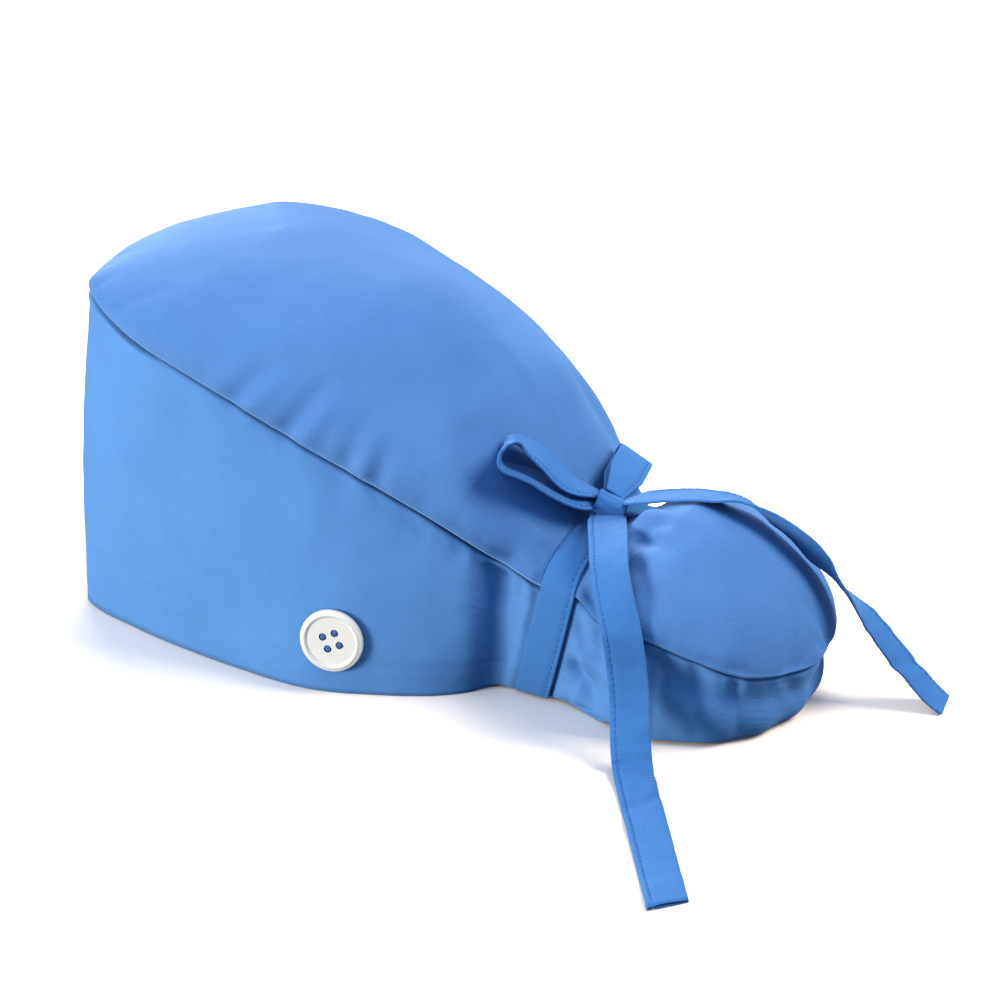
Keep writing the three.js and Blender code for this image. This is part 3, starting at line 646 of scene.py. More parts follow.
def thread(name, colour):
    """Polyester sewing thread: a little shinier than the cloth it lies in."""
    material, tree = new_material(name)
    place = add(tree, "ShaderNodeTexCoord").outputs["Object"]
    twist = add(tree, "ShaderNodeTexNoise", Vector=place, Scale=2200.0, Detail=1.0)
    bump = add(tree, "ShaderNodeBump", Strength=0.3, Distance=0.1 * MM, Height=twist.outputs["Fac"])
    fibre = add(tree, "ShaderNodeBsdfPrincipled", Base_Color=linear(colour), Roughness=0.6,
                Normal=bump.outputs[0], IOR=1.5)
    add(tree, "ShaderNodeOutputMaterial", Surface=fibre.outputs[0])
    return material


def moulded_resin(name, colour, shade):
    """Pressed polyester resin button: off-white, a soft satin shine, the faintest clouding."""
    material, tree = new_material(name)
    place = add(tree, "ShaderNodeTexCoord").outputs["Object"]
    clouds = add(tree, "ShaderNodeTexNoise", Vector=place, Scale=160.0, Detail=3.0)
    tone = add(tree, "ShaderNodeMix", {"data_type": "RGBA"}, Factor=clouds.outputs["Fac"])
    tone.inputs[6].default_value = linear(shade)
    tone.inputs[7].default_value = linear(colour)
    fine = add(tree, "ShaderNodeTexNoise", Vector=place, Scale=900.0, Detail=2.0)
    bump = add(tree, "ShaderNodeBump", Strength=0.08, Distance=0.1 * MM, Height=fine.outputs["Fac"])
    resin = add(tree, "ShaderNodeBsdfPrincipled", Base_Color=tone.outputs[2], Roughness=0.34,
                Normal=bump.outputs[0], IOR=1.54)
    add(tree, "ShaderNodeOutputMaterial", Surface=resin.outputs[0])
    return material


# Share of the light that the floor throws back up on to the cloth, kept low as on a dull studio table
FLOOR_BOUNCE = 0.22


def painted_floor():
    """Plain pale studio floor, dead matt."""
    material, tree = new_material("studio_floor")
    place = add(tree, "ShaderNodeTexCoord").outputs["Object"]
    grain = add(tree, "ShaderNodeTexNoise", Vector=place, Scale=300.0)
    bump = add(tree, "ShaderNodeBump", Strength=0.02, Distance=0.1 * MM, Height=grain.outputs["Fac"])
    paint = add(tree, "ShaderNodeBsdfPrincipled", Base_Color=linear("#ece8e1"), Roughness=0.9,
                Normal=bump.outputs[0])
    paint.inputs["Specular IOR Level"].default_value = 0.1
    bounce = add(tree, "ShaderNodeBsdfDiffuse", Color=(FLOOR_BOUNCE,) * 3 + (1.0,))
    seen = add(tree, "ShaderNodeLightPath").outputs["Is Camera Ray"]
    both = add(tree, "ShaderNodeMixShader", _0=seen, _1=bounce.outputs[0], _2=paint.outputs[0])
    add(tree, "ShaderNodeOutputMaterial", Surface=both.outputs[0])
    return material


# The crown's cloth carries the painted highlight along its seam's ridge
CROWN_POPLIN = poplin("crown_poplin", "#4b77ab", "#426da1", 0.2, painted_ridge_highlight=True)
# Painted shade: the crown's blue is drawn darker than the band's, though both are the same cloth
BAND_POPLIN = poplin("band_poplin", "#4e7eb4", "#4675a9", 0.2, 0.3)
TIE_POPLIN = poplin("tie_poplin", "#3b6ea5", "#35679d", 0.16)
# The thread is drawn a darker blue than the ties: painted shade of the dimples that the stitches pull in
BLUE_THREAD = thread("blue_thread", "#24589c")
BUTTON_RESIN = moulded_resin("button_resin", "#c2c7c6", "#bbc1c0")


def crown_piece():
    t = np.linspace(0, 1, CROWN_ROWS + 1)
    points, *weave = panel_points(1 + t ** CROWN_CROWDING, "crown")
    points[..., 2] += GAP / 2
    piece = finish_piece("crown_cloth", grid_mesh(points, *weave), CROWN_POPLIN, ["crown"])
    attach(wall(piece), "root")


def band_piece():
    t = np.linspace(0, 1, BAND_ROWS + 1)
    points, *weave = panel_points(1 - (1 - t) ** BAND_CROWDING, "band")
    piece = finish_piece("band_cloth", grid_mesh(points, *weave), BAND_POPLIN, ["side_band"])
    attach(wall(piece), "root")


# A tie's section: points round it, how square its folded edges and its flat sides are, and the groove that
# its stitching pulls in, as a share of its thickness and in mm
STRIP_RING = 44
EDGE_POWER, SIDE_POWER = 0.55, 0.4
STITCH_INSET = 2.2
STITCH_PITCH = 2.7
STITCH_GROOVE, STITCH_GROOVE_WIDTH = 0.5, 0.5


def strip_section(edge):
    """Points round a folded strip's section, stitched along one edge: (across, up) in mm from its middle."""
    ring = []
    for k in range(STRIP_RING):
        turn = 2 * math.pi * k / STRIP_RING
        c, s = math.cos(turn), math.sin(turn)
        across = TIE_WIDTH / 2 * math.copysign(abs(c) ** EDGE_POWER, c)
        up = STRIP_WALL / 2 * math.copysign(abs(s) ** SIDE_POWER, s)
        off = across - edge * (TIE_WIDTH / 2 - STITCH_INSET)
        up *= 1 - STITCH_GROOVE * math.exp(-(off / STITCH_GROOVE_WIDTH) ** 2)
        ring.append((across, up))
    return ring


def curve_through(places, steps):
    """Centripetal curve through places: points and tangents, steps to each stretch."""
    points = [places[0] * 2 - places[1], *places, places[-1] * 2 - places[-2]]
    made = []
    for i in range(1, len(points) - 2):
        p0, p1, p2, p3 = points[i - 1:i + 3]
        d0, d1, d2 = (max((b - a).length, 1e-6) ** 0.5 for a, b in ((p0, p1), (p1, p2), (p2, p3)))
        m1 = ((p1 - p0) / d0 - (p2 - p0) / (d0 + d1) + (p2 - p1) / d1) * d1
        m2 = ((p2 - p1) / d1 - (p3 - p1) / (d1 + d2) + (p3 - p2) / d2) * d1
        last = i == len(points) - 3
        for k in range(steps + (1 if last else 0)):
            t = k / steps
            point = (p1 * (2 * t ** 3 - 3 * t * t + 1) + m1 * (t ** 3 - 2 * t * t + t)
                     + p2 * (3 * t * t - 2 * t ** 3) + m2 * (t ** 3 - t * t))
            slope = (p1 * (6 * t * t - 6 * t) + m1 * (3 * t * t - 4 * t + 1)
                     + p2 * (6 * t - 6 * t * t) + m2 * (3 * t * t - 2 * t))
            made.append((point, slope.normalized(), i - 1 + t))
    return made


class Strip:
    """A tie's frames along its length: middle, width direction, face direction and share of its width."""

    def __init__(self, frames):
        self.frames = frames
        self.lengths = [0.0]
        for here, ahead in zip(frames, frames[1:]):
            self.lengths.append(self.lengths[-1] + (ahead[0] - here[0]).length)

    def at(self, length):
        i = min(max(int(np.searchsorted(self.lengths, length)) - 1, 0), len(self.lengths) - 2)
        span = self.lengths[i + 1] - self.lengths[i]
        t = (length - self.lengths[i]) / max(span, 1e-6)
        *here, share = self.frames[i]
        *ahead, share_ahead = self.frames[i + 1]
        middle, width, face = (a.lerp(b, t) for a, b in zip(here, ahead))
        return middle, width.normalized(), face.normalized(), share + (share_ahead - share) * t


# Frames to each stretch of a free strip's route
RIBBON_STEPS = 14


def ribbon_frames(places, facing, squeezed):
    """Frames of a free strip through places; facing(row, tangent) is the direction of its width."""
    frames = []
    for point, tangent, row in curve_through(places, RIBBON_STEPS):
        t = row / (len(places) - 1)
        width = facing(row, tangent)
        width = (width - tangent * width.dot(tangent)).normalized()
        face = tangent.cross(width).normalized()
        share = squeezed(t)
        half = share * TIE_WIDTH / 2
        lowest = GAP / 2 + half * abs(width.z) + TIE_THICKNESS / 2 * abs(face.z)
        frames.append((Vector((point.x, point.y, max(point.z, lowest))), width, face, share))
    return Strip(frames)


# Soft cross creases of a free end: where along it, slant, half width and rise, in mm
CREASE_COLUMNS = ("length", "slant", "width", "rise")
LEFT_TAIL_CREASES = (
    (124, -0.2, 5.0, 0.5), (133, 0.15, 4.0, 1.0), (140, 0.4, 1.9, -1.2), (146, 0.5, 3.0, 0.5),
    (166, -0.7, 3.2, -0.7), (186, 0.5, 3.4, 0.5), (199, 0.6, 2.6, -0.6), (222, -0.4, 3.4, -0.6),
)
RIGHT_TAIL_CREASES = (
    (112, -0.5, 3.6, -0.35), (131, 0.5, 3.2, 0.3), (149, 0.6, 2.2, -0.55), (155, 0.6, 3.0, 0.4),
)

# Ripples of a strip: their length along it and across it in mm, the finer ones' scale and share, how far
# apart the seeds lie, and the length over which the knot holds the strip flat
RIPPLE_LENGTH, RIPPLE_ACROSS = 17, 13
FINER_SCALE, FINER_SHARE = 3.1, 0.35
SEED_STEP = 3.1
HELD_FLAT = 20

# A strip's edges as the stitches pull them in, its lowest point over the floor, the length over which its end
# is cut aslant, and the rim and depth of that folded end, all in mm
EDGE_PINCH, PINCHED_EDGE = 0.07, 3
STRIP_LEAST = 0.08
CUT_LENGTH = 14
END_RIM, END_DEPTH = 0.3, 2.5


def wave_of(length, off, wrinkle, seed, creases):
    """How far a strip's surface rises at a place, from its ripples and its cross creases."""
    probe = Vector((length / RIPPLE_LENGTH, off / RIPPLE_ACROSS, seed * SEED_STEP))
    wave = wrinkle * noise.noise(probe) + FINER_SHARE * wrinkle * noise.noise(probe * FINER_SCALE)
    for crease in (dict(zip(CREASE_COLUMNS, row)) for row in creases):
        away = (length - crease["length"] - crease["slant"] * off) / crease["width"]
        wave += crease["rise"] * math.exp(-away * away)
    return wave * min(1, length / HELD_FLAT)


def strip_mesh(strip, edge, rise, open_end, cut):
    """A strip's closed body, swept from its section; its far end is folded in, and cut aslant."""
    ring = strip_section(edge)
    whole = strip.lengths[-1]
    points = np.zeros((len(strip.frames), STRIP_RING + 1, 3))
    along, across = np.zeros(points.shape[:2]), np.zeros(points.shape[:2])
    for i, (length, (middle, width, face, share)) in enumerate(zip(strip.lengths, strip.frames)):
        slant = cut * float(smoothstep(length, whole - CUT_LENGTH, whole))
        for k in range(STRIP_RING + 1):
            off, up = ring[k % STRIP_RING]
            pinch = EDGE_PINCH * math.cos(2 * math.pi * length / STITCH_PITCH)
            pinch *= abs(off) > TIE_WIDTH / 2 - PINCHED_EDGE
            spot = middle + width * (off * share) + face * (up + rise(length, off) + pinch)
            spot -= width.cross(face) * (off * slant)
            points[i, k] = Vector((spot.x, spot.y + ORIGIN_SHIFT, max(spot.z, STRIP_LEAST)))
            along[i, k] = length
            across[i, k] = off + (0 if up >= 0 else 2 * TIE_WIDTH)
    bm = grid_mesh(points, along, across)
    ends = bmesh.ops.holes_fill(bm, edges=[e for e in bm.edges if e.is_boundary], sides=0)["faces"]
    bmesh.ops.recalc_face_normals(bm, faces=bm.faces)
    if open_end and ends:
        last = strip.frames[-1][0] + Vector((0, ORIGIN_SHIFT, 0))
        far = min(ends, key=lambda f: (f.calc_center_median() / MM - last).length)
        bmesh.ops.inset_region(bm, faces=[far], thickness=END_RIM * MM, use_even_offset=True)
        inward = -far.normal * END_DEPTH * MM
        pushed = bmesh.ops.extrude_face_region(bm, geom=[far])["geom"]
        verts = [g for g in pushed if isinstance(g, bmesh.types.BMVert)]
        bmesh.ops.translate(bm, verts=verts, vec=inward)
        if far.is_valid:
            bmesh.ops.delete(bm, geom=[far], context="FACES_ONLY")
    return bm


# A stitch's half length, half width and half thickness, how deep it lies, and how far ahead its run is taken
STITCH_HALVES = (1.0, 0.3, 0.24)
STITCH_SUNK = 0.28
STITCH_AHEAD = 0.3


def stitch_row(strip, edge, start, end, rise):
    """Lock stitches along one edge of a strip, on both its faces."""
    bm = bmesh.new()
    length = start
    while length < end - STITCH_PITCH:
        middle, width, face, share = strip.at(length)
        ahead = strip.at(length + STITCH_PITCH * STITCH_AHEAD)[0]
        tangent = (ahead - middle).normalized()
        off = edge * (TIE_WIDTH / 2 - STITCH_INSET)
        wave = rise(length, off)
        side = tangent.cross(face).normalized()
        turn = Matrix((tangent, side, face)).transposed().to_4x4() @ Matrix.Diagonal((*STITCH_HALVES, 1))
        for sign in (1, -1):
            spot = middle + width * (off * share) + face * (sign * (STRIP_WALL / 2 - STITCH_SUNK) + wave)
            spot.y += ORIGIN_SHIFT
            place = Matrix.Translation(spot * MM) @ turn @ Matrix.Scale(MM, 4)
            bmesh.ops.create_uvsphere(bm, u_segments=8, v_segments=5, radius=1, matrix=place)
        length += STITCH_PITCH
    return bm


def strip_piece(node, strip, edge, wrinkle, seed, stitch_from=8.0, stitch_to=0.0, open_end=False, cut=0.0,
                creases=()):
    """A tie piece, with its stitching as a piece of its own."""
    def rise(length, off):
        return wave_of(length, off, wrinkle, seed, creases)

    name = node + "_strip"
    piece = finish_piece(name, strip_mesh(strip, edge, rise, open_end, cut), TIE_POPLIN, [node])
    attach(piece, "root")
    stitches = stitch_row(strip, edge, stitch_from, strip.lengths[-1] - stitch_to, rise)
    sewn = finish_piece(name + "_stitches", stitches, BLUE_THREAD, [])
    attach(sewn, "root")


def mirrored(vector):
    return Vector((-vector.x, vector.y, vector.z))


# The knot is a short tube of tie wrapped round the bow, seated on the ties at the middle of the neck
NECK_RIDGE = cap_point(TIE_SECTION, 2)
TIE_TOP = NECK_RIDGE.z + 3 * GAP + TIE_THICKNESS
KNOT_CENTRE = Vector((0, NECK_RIDGE.y + KNOT_SETBACK, TIE_TOP + 1.7 * GAP + KNOT_RADIUS))
KNOT_AXIS = Vector((-0.55, 0.83, -0.05)).normalized()
WRAP_AXIS = Vector((-0.41, 0.85, -0.33)).normalized()
WRAP_RADIUS = 4.4
WRAP_SHIFT = Vector((4.4, 1.6, 0.4))


def start_in_knot(along, up):
    point = KNOT_CENTRE + KNOT_AXIS * (along * KNOT_LENGTH)
    point.z += up * KNOT_RADIUS
    return point


def section_across(height, distance):
    """The section that lies a distance in mm across from the tie's middle line, at one height."""
    middle = cap_point(TIE_SECTION, height)
    up = (cap_point(TIE_SECTION, min(height + 0.05, 2)) - cap_point(TIE_SECTION, max(height - 0.05, 0)))
    up.normalize()
    near, far = TIE_SECTION, TIE_SECTION + math.copysign(1.4, distance)
    for _ in range(24):
        section = (near + far) / 2
        offset = cap_point(section, height) - middle
        offset -= up * offset.dot(up)
        if offset.length < abs(distance):
            near = section
        else:
            far = section
    return near


# The heights on the cap between which a tie runs, and its frames
TIE_SPAN, TIE_STEPS = (0.04, 1.985), 64


def tie_frames(side):
    """Frames of a tie that runs from the rim up over the band and the crown to the middle of the neck."""
    frames = []
    lift = GAP * 2 + TIE_THICKNESS / 2
    for height in np.linspace(*TIE_SPAN, TIE_STEPS):
        front = cap_point(section_across(height, -TIE_WIDTH / 2), height)
        rear = cap_point(section_across(height, TIE_WIDTH / 2), height)
        face = cap_normal(TIE_SECTION, height)
        middle = (front + rear + cap_point(TIE_SECTION, height) * 2) / 4 + face * lift
        middle.z = max(middle.z, STRIP_WALL / 2 + GAP)
        width = (rear - front).normalized()
        if side < 0:
            middle, width, face = mirrored(middle), mirrored(width), mirrored(face)
        frames.append((middle, width, face, 1.0))
    return Strip(frames)


# The far loop of the bow: where on the cap its tip lies, how far over it in tie widths, its turn about its
# own length in degrees, how far it opens, and where in the knot it starts
FAR_LOOP_TIP = (4.57, 1.4)
FAR_LOOP_LIFT = 0.36
FAR_LOOP_ROLL = 28
FAR_LOOP_OPENING = 0.5
FAR_LOOP_START = (-0.02, 0.44)

# Its outline from the knot out and back: shares of its length and of its opening
LOOP_OUTLINE = ((0.3, 0.06), (0.62, -0.02), (0.93, -0.02), (0.995, 0.14), (0.97, 0.6), (0.9, 1.1),
                (0.8, 1.24), (0.62, 1.12), (0.34, 0.72))
LOWER_STRAND = 0.1


def far_loop_frames():
    """Frames of the far loop, from the knot out over the crown and back."""
    normal = mirrored(cap_normal(*FAR_LOOP_TIP))
    tip = mirrored(cap_point(*FAR_LOOP_TIP)) + normal * (FAR_LOOP_LIFT * TIE_WIDTH)
    origin = start_in_knot(*FAR_LOOP_START)
    along = tip - origin
    length = along.length
    along.normalize()
    width = along.cross(normal).normalized()
    width.rotate(Matrix.Rotation(-math.radians(FAR_LOOP_ROLL), 3, along))
    up = along.cross(width).normalized()
    if up.dot(normal) < 0:
        up.negate()
    apart = (TIE_THICKNESS + 2 * GAP) / 2
    opening = LOOP_OPENING * FAR_LOOP_OPENING
    outline = [(a * length, b * opening + (0 if b < LOWER_STRAND else apart)) for a, b in LOOP_OUTLINE]
    places = [origin + along * a + up * b for a, b in ((0, -apart), *outline, (0, apart))]
    return ribbon_frames(places, lambda row, tangent: width.copy(), lambda t: min(1, 0.5 + 4 * min(t, 1 - t)))


# The near free end: places down the side of the pouch in mm, and its roll there in degrees; then where it
# meets the floor, its places on it as shares of its run there, and the level line that its width follows
LEFT_TAIL = (
    (10.2, 252.8, 71.8, 5), (30.3, 265.8, 72.5, 12), (47.8, 277.5, 68.4, 22),
    (57.1, 285.7, 60.5, 16), (62.6, 292.3, 50.9, 8), (64.2, 296.0, 37.0, 12),
    (68.0, 300.0, 22.6, 18), (72.8, 303.6, 12.0, 12), (76.6, 306.6, 5.3, 4), (81.0, 310.1, 2.3, 2),
)
LEFT_TAIL_START = (0.7, 246.8, 73.0)
LEFT_TAIL_FOOT = (87.0, 315.0)
LEFT_TAIL_ON_FLOOR = (0.12, 0.46, 0.92)
LEFT_TAIL_LEVEL = (-0.556, 0.831, 0)

# The near loop of the bow, from the knot round and back: middle of the strip and direction of its width
NEAR_LOOP = (
    (-1.9, 242.9, 73.4, -0.89, -0.42, -0.17),
    (13.0, 238.6, 78.8, -0.93, -0.35, -0.12),
    (29.9, 229.7, 91.1, -0.93, -0.35, -0.12),
    (40.7, 221.5, 99.5, -0.88, -0.44, -0.20),
    (40.1, 221.1, 103.7, -0.86, -0.46, -0.23),
    (35.0, 223.7, 106.9, -0.89, -0.41, -0.20),
    (26.0, 229.8, 99.7, -0.96, -0.28, -0.08),
    (15.3, 235.4, 87.1, -0.96, -0.28, -0.11),
    (-2.5, 242.2, 75.7, -0.88, -0.44, -0.17),
)


def near_loop_frames():
    """Frames of the near loop, held open, its two strands seen edge on."""
    places = [Vector(row[:3]) for row in NEAR_LOOP]
    across = [Vector(row[3:]) for row in NEAR_LOOP]

    def facing(row, tangent):
        i = min(int(row), len(across) - 2)
        return across[i].lerp(across[i + 1], row - i)

    return ribbon_frames(places, facing, lambda t: min(1, 0.5 + 5 * min(t, 1 - t)))


def squeezed_at_knot(t):
    return min(1, 0.55 + 6 * t)


def rolled_facing(rolls, level_of):
    """The width direction of a free end: a level line, turned about the strip's run by its rolls."""
    rolls = [0.0, *rolls]

    def facing(row, tangent):
        i = min(int(row), len(rolls) - 2)
        roll = rolls[i] + (rolls[i + 1] - rolls[i]) * (row - i)
        level = level_of(tangent)
        level.rotate(Matrix.Rotation(math.radians(roll), 3, tangent))
        return level

    return facing


# Height of a strip's middle where it lies on the floor
ON_FLOOR = TIE_THICKNESS / 2 + GAP / 2


def left_tail_frames():
    """The free end that hangs down the side of the pouch, then runs out over the floor."""
    heading = math.radians(TAIL_HEADING)
    out = Vector((math.cos(heading), math.sin(heading), 0))
    foot = Vector((*LEFT_TAIL_FOOT, ON_FLOOR))
    places = [Vector(LEFT_TAIL_START), *(Vector(row[:3]) for row in LEFT_TAIL), foot]
    places += [foot + out * (share * TAIL_FLOOR_RUN) for share in LEFT_TAIL_ON_FLOOR]
    rolls = [row[3] for row in LEFT_TAIL] + [0.0] * (1 + len(LEFT_TAIL_ON_FLOOR))
    facing = rolled_facing(rolls, lambda tangent: Vector(LEFT_TAIL_LEVEL))
    return ribbon_frames(places, facing, squeezed_at_knot)


# The far free end: shares of the pouch's half width, length and height, and its roll in degrees
RIGHT_TAIL = (
    (-0.05, 0.144, 0.94, -3), (-0.15, 0.35, 0.99, -3), (-0.18, 0.488, 1.01, -6), (-0.21, 0.593, 1.01, -22),
    (-0.25, 0.715, 0.945, -42), (-0.31, 0.826, 0.855, -44), (-0.39, 0.917, 0.713, -38),
    (-0.44, 0.997, 0.595, -16), (-0.53, 1.091, 0.44, 14), (-0.63, 1.206, 0.246, 18),
    (-0.71, 1.305, 0.09, 14), (-0.76, 1.385, 0, 6),
)
RIGHT_TAIL_START = (0.36, 0.1)


def right_tail_frames():
    """The free end that passes over the pouch, twists behind it and ends on the floor."""
    places = [Vector((across * POUCH_WIDTH / 2, HEAD_LENGTH + along * POUCH_LENGTH,
                      ON_FLOOR + up * POUCH_HEIGHT)) for across, along, up, _ in RIGHT_TAIL]
    facing = rolled_facing([row[3] for row in RIGHT_TAIL],
                           lambda tangent: Vector((-tangent.y, tangent.x, 0)).normalized())
    return ribbon_frames([start_in_knot(*RIGHT_TAIL_START), *places], facing, squeezed_at_knot)


# The knot's wall and how far it is turned in at its ends, in mm; its three and its seven soft creases, the
# groove of each end's fold, and how much narrower it grows along its length
WRAP_WALL, WRAP_TURNED_IN = 1.5, 1.2
WRAP_CREASES = (0.28, 0.16)
WRAP_GROOVE, GROOVE_LEVEL, GROOVE_SPREAD = 0.4, 0.7, 0.06
WRAP_TAPER = 0.1


def spun(profile, closed, steps):
    """A body spun about the Z axis from its profile of (radius, up)."""
    bm = bmesh.new()
    verts = [bm.verts.new((radius, 0, up)) for radius, up in profile]
    ends = [*verts[1:], verts[0]] if closed else verts[1:]
    edges = [bm.edges.new(pair) for pair in zip(verts, ends)]
    bmesh.ops.spin(bm, geom=verts + edges, axis=(0, 0, 1), cent=(0, 0, 0), dvec=(0, 0, 0),
                   angle=2 * math.pi, steps=steps, use_merge=True)
    bmesh.ops.remove_doubles(bm, verts=bm.verts, dist=1e-4)
    bmesh.ops.recalc_face_normals(bm, faces=bm.faces)
    return bm


def knot_piece():
    """A tube of folded tie, its wall spun about the knot's axis, pinched and creased along its length."""
    half, rim = KNOT_LENGTH / 2, WRAP_WALL / 2
    outer, inner = WRAP_RADIUS, WRAP_RADIUS - WRAP_WALL
    middle = (outer + inner) / 2
    turns = [math.pi * k / 6 for k in range(7)]
    top, foot = ([(middle - sign * rim * math.cos(turn), sign * (half - rim + rim * math.sin(turn)))
                  for turn in turns] for sign in (1, -1))
    side = [(outer, (half - WRAP_WALL) * share) for share in np.linspace(0.8, -0.8, 17)]
    turned_in = half - WRAP_TURNED_IN
    bm = spun([(inner, turned_in), *top, *side, *foot, (inner, -turned_in)], True, 72)
    for vert in bm.verts:
        turn = math.atan2(vert.co.y, vert.co.x)
        level = vert.co.z / half
        crease = WRAP_CREASES[0] * math.cos(3 * turn + 1.3 * level)
        crease += WRAP_CREASES[1] * math.cos(7 * turn - 2 * level + 1)
        groove = WRAP_GROOVE * math.exp(-((abs(level) - GROOVE_LEVEL) / GROOVE_SPREAD) ** 2)
        pinch = (1 + (crease - groove) / KNOT_RADIUS) * (1 - WRAP_TAPER * level)
        vert.co.x *= pinch
        vert.co.y *= pinch
    uv = bm.loops.layers.uv.verify()
    for face in bm.faces:
        for loop in face.loops:
            co = loop.vert.co
            loop[uv].uv = (math.atan2(co.y, co.x) * KNOT_RADIUS * MM, co.z * MM)
    turn = Vector((0, 0, 1)).rotation_difference(WRAP_AXIS).to_matrix().to_4x4()
    shift = Matrix.Translation((KNOT_CENTRE + WRAP_SHIFT + Vector((0, ORIGIN_SHIFT, 0))) * MM)
    bmesh.ops.transform(bm, matrix=shift @ turn @ Matrix.Scale(MM, 4), verts=bm.verts)
    piece = finish_piece("knot_wrap", bm, TIE_POPLIN, ["knot"])
    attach(piece, "root")


def button_body():
    """A pressed button, spun from its profile: a rounded edge, a raised rim and a dished face."""
    radius, edge = BUTTON_DIAMETER / 2, BUTTON_THICKNESS * 0.25
    floor = BUTTON_THICKNESS - BUTTON_DISH
    lip = radius - BUTTON_RIM
    profile = [(0, 0), (radius - edge, 0)]
    for k in range(1, 6):
        turn = math.pi / 2 * k / 5
        profile.append((radius - edge + edge * math.sin(turn), edge - edge * math.cos(turn)))
    for k in range(7):
        turn = math.pi / 2 * k / 6
        up = BUTTON_THICKNESS - 2 * edge + edge * math.sin(turn)
        profile.append((radius - edge + edge * math.cos(turn), up))
    profile += [(lip + 0.5, BUTTON_THICKNESS), (lip, BUTTON_THICKNESS - 0.12), (lip - 0.5, floor + 0.25),
                (lip - BUTTON_DISH, floor), (lip * 0.6, floor - 0.03), (0, floor - 0.05)]
    return spun(profile, False, 96)


# Edges of a button sharper than this stay sharp, in degrees
SHARP_ANGLE = 38

# The thread in a button's holes: shares of a hole's diameter and of the button's thickness, and its rounding
THREAD_RADIUS, THREAD_LENGTH, THREAD_LEVEL = 0.36, 0.9, 0.2
THREAD_ROUNDING = 0.35


def hole_plugs(radius, length, level, segments):
    """A round plug at each of a button's four holes, in its own millimetres."""
    bm = bmesh.new()
    for x, y in ((1, 1), (1, -1), (-1, -1), (-1, 1)):
        place = Matrix.Translation((x * HOLE_SPACING / 2, y * HOLE_SPACING / 2, level))
        bmesh.ops.create_cone(bm, cap_ends=True, segments=segments, radius1=radius, radius2=radius,
                              depth=length, matrix=place)
    return bm


def button_place(side):
    """Where a button sits, as a matrix from its own millimetres to the frame's metres."""
    normal = cap_normal(BUTTON_SECTION, BUTTON_HEIGHT)
    point = cap_point(BUTTON_SECTION, BUTTON_HEIGHT) + normal * GAP
    if side < 0:
        normal, point = mirrored(normal), mirrored(point)
    point.y += ORIGIN_SHIFT
    turn = Vector((0, 1, 0)).rotation_difference(normal).to_matrix().to_4x4()
    stand = Matrix.Rotation(-math.pi / 2, 4, "X")
    spin = Matrix.Rotation(math.radians(BUTTON_TURN * side), 4, "Y")
    return Matrix.Translation(point * MM) @ turn @ spin @ stand @ Matrix.Scale(MM, 4)


def button_piece(side, name, node):
    """A button with its four holes drilled, seated against the band."""
    blank = finish_piece(name, button_body(), BUTTON_RESIN, [node])
    drill = object_of("drill", hole_plugs(HOLE_DIAMETER / 2, BUTTON_THICKNESS * 3, 0, 32))
    cut = blank.modifiers.new("holes", "BOOLEAN")
    cut.object = drill
    cut.solver = "EXACT"
    graph = bpy.context.evaluated_depsgraph_get()
    drilled = bpy.data.meshes.new_from_object(blank.evaluated_get(graph), depsgraph=graph)
    blank.modifiers.clear()
    blank.data = drilled
    bpy.data.objects.remove(drill)
    drilled.transform(button_place(side))
    for polygon in drilled.polygons:
        polygon.use_smooth = True
    drilled.set_sharp_from_angle(angle=math.radians(SHARP_ANGLE))
    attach(blank, "root")


def button_thread(side, name):
    """Thread through a button's holes: a rounded plug in each."""
    bm = hole_plugs(HOLE_DIAMETER * THREAD_RADIUS, BUTTON_THICKNESS * THREAD_LENGTH,
                    BUTTON_THICKNESS * THREAD_LEVEL, 16)
    bevel_edges = [e for e in bm.edges if abs(e.verts[0].co.z - e.verts[1].co.z) < 1e-4]
    bmesh.ops.bevel(bm, geom=bevel_edges, offset=THREAD_ROUNDING, segments=3, profile=0.5, affect="EDGES",
                    material=-1)
    bmesh.ops.transform(bm, matrix=button_place(side), verts=bm.verts)
    piece = finish_piece(name, bm, BLUE_THREAD, [])
    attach(piece, "root")


crown_piece()
band_piece()
SIDES = ((1, "left"), (-1, "right"))
for side, name in SIDES:
    strip_piece(f"tie_{name}", tie_frames(side), edge=side, wrinkle=0.1, seed=3 + side, stitch_from=2.0)
strip_piece("bow_loop_left", near_loop_frames(), edge=-1, wrinkle=0.25, seed=8, stitch_to=8.0)
strip_piece("bow_loop_right", far_loop_frames(), edge=1, wrinkle=0.25, seed=6, stitch_to=8.0)
strip_piece("tail_left", left_tail_frames(), edge=-1, wrinkle=0.7, seed=12, open_end=True, cut=0.36,
            creases=LEFT_TAIL_CREASES)
strip_piece("tail_right", right_tail_frames(), edge=1, wrinkle=0.6, seed=15, open_end=True,
            creases=RIGHT_TAIL_CREASES)
knot_piece()
for side, name in SIDES:
    button_piece(side, f"button_{name}_body", f"button_{name}")
    button_thread(side, f"button_{name}_thread")


# The floor's half width, and how far under the cap it lies, in metres
FLOOR_HALF = 6
FLOOR_DROP = 0.0002


def floor_piece():
    bm = bmesh.new()
    bmesh.ops.create_grid(bm, x_segments=1, y_segments=1, size=FLOOR_HALF)
    floor = object_of("floor", bm)
    floor.data.transform(Matrix.Translation((0, 0, -FLOOR_DROP)))
    floor.data.materials.append(painted_floor())


# The photograph's camera, in mm of the cap's own frame: where it stands and its three directions
CAMERA_PLACE = Vector((1033.8, 884.6, 563.1)) * MM
CAMERA_RIGHT = Vector((-0.5562, 0.8310, 0))
CAMERA_UP = Vector((-0.3097, -0.2073, 0.9280))
CAMERA_BACK = Vector((0.7712, 0.5162, 0.3727))
CAMERA_LENS = 114.89
CAMERA_SENSOR = 36


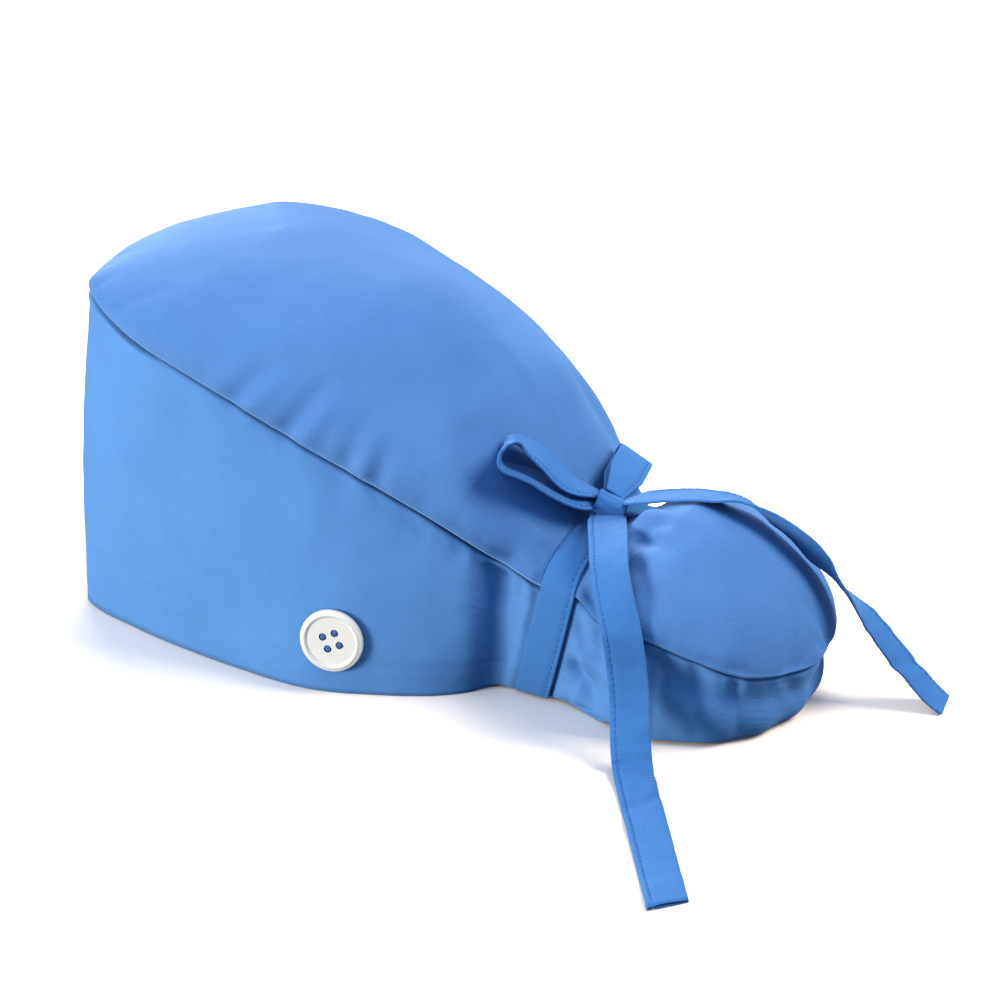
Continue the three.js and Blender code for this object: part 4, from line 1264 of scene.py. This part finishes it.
def camera():
    data = bpy.data.cameras.new("camera")
    data.lens = CAMERA_LENS
    data.sensor_width = CAMERA_SENSOR
    data.clip_start, data.clip_end = 0.05, 50
    eye = bpy.data.objects.new("camera", data)
    turn = Matrix((CAMERA_RIGHT, CAMERA_UP, CAMERA_BACK)).transposed()
    eye.matrix_world = Matrix.Translation(CAMERA_PLACE) @ turn.to_4x4()
    bpy.context.scene.collection.objects.link(eye)
    bpy.context.scene.camera = eye


# What the lights look at, in metres, how far from it they stand, and their warm colour
LIT_PLACE = Vector((0, 0.17, 0.06))
LIGHT_DISTANCE = 1.6
LIGHT_COLOUR = "#ffeedd"

# Each softbox: where it stands from there, its width in metres and its power in watts
SOFTBOXES = {
    "side": ((0.88, -0.48, 0.12), 0.5, 36),
    "far": ((-0.3, 0.7, 0.75), 0.7, 28),
    "rear": ((-0.7, -0.55, 0.6), 0.9, 20),
}


def softbox(name, direction, size, watts):
    """A square area light that looks at the middle of the cap."""
    light = bpy.data.lights.new(name, "AREA")
    light.shape = "SQUARE"
    light.size = size
    light.energy = watts
    light.color = linear(LIGHT_COLOUR)[:3]
    lamp = bpy.data.objects.new(name, light)
    away = Vector(direction).normalized()
    lamp.location = LIT_PLACE + away * LIGHT_DISTANCE
    lamp.rotation_mode = "QUATERNION"
    lamp.rotation_quaternion = away.to_track_quat("Z", "Y")
    bpy.context.scene.collection.objects.link(lamp)


# The studio's wrap of light: its mean strength, and how it leans towards the side in front of the cap
SKY_LEVEL = 0.7
SKY_LEAN = (0.05, -0.15, 0.25)
SKY_LEAST = 0.1

# Its colour as it lights the cap, and as the camera sees it
SKY_LIGHT, SKY_SEEN = "#cfe2ff", "#fbfcfd"


def studio():
    world = bpy.data.worlds.new("studio")
    bpy.context.scene.world = world
    world.use_nodes = True
    tree = world.node_tree
    sky = tree.nodes["Background"]
    towards = add(tree, "ShaderNodeTexCoord").outputs["Generated"]
    lean = add(tree, "ShaderNodeVectorMath", {"operation": "DOT_PRODUCT"}, _0=towards, _1=SKY_LEAN)
    level = add(tree, "ShaderNodeMath", {"operation": "ADD"}, _0=lean.outputs["Value"], _1=SKY_LEVEL)
    strength = add(tree, "ShaderNodeMath", {"operation": "MAXIMUM"}, _0=level.outputs[0], _1=SKY_LEAST)
    tree.links.new(strength.outputs[0], sky.inputs["Strength"])
    seen = add(tree, "ShaderNodeLightPath").outputs["Is Camera Ray"]
    tint = add(tree, "ShaderNodeMix", {"data_type": "RGBA"}, Factor=seen)
    tint.inputs[6].default_value = linear(SKY_LIGHT)
    tint.inputs[7].default_value = linear(SKY_SEEN)
    tree.links.new(tint.outputs[2], sky.inputs["Color"])
    for name, (direction, size, watts) in SOFTBOXES.items():
        softbox(name, direction, size, watts)
    bpy.context.scene.view_settings.view_transform = "Standard"
    bpy.context.scene.view_settings.look = "Medium High Contrast"


floor_piece()
camera()
studio()
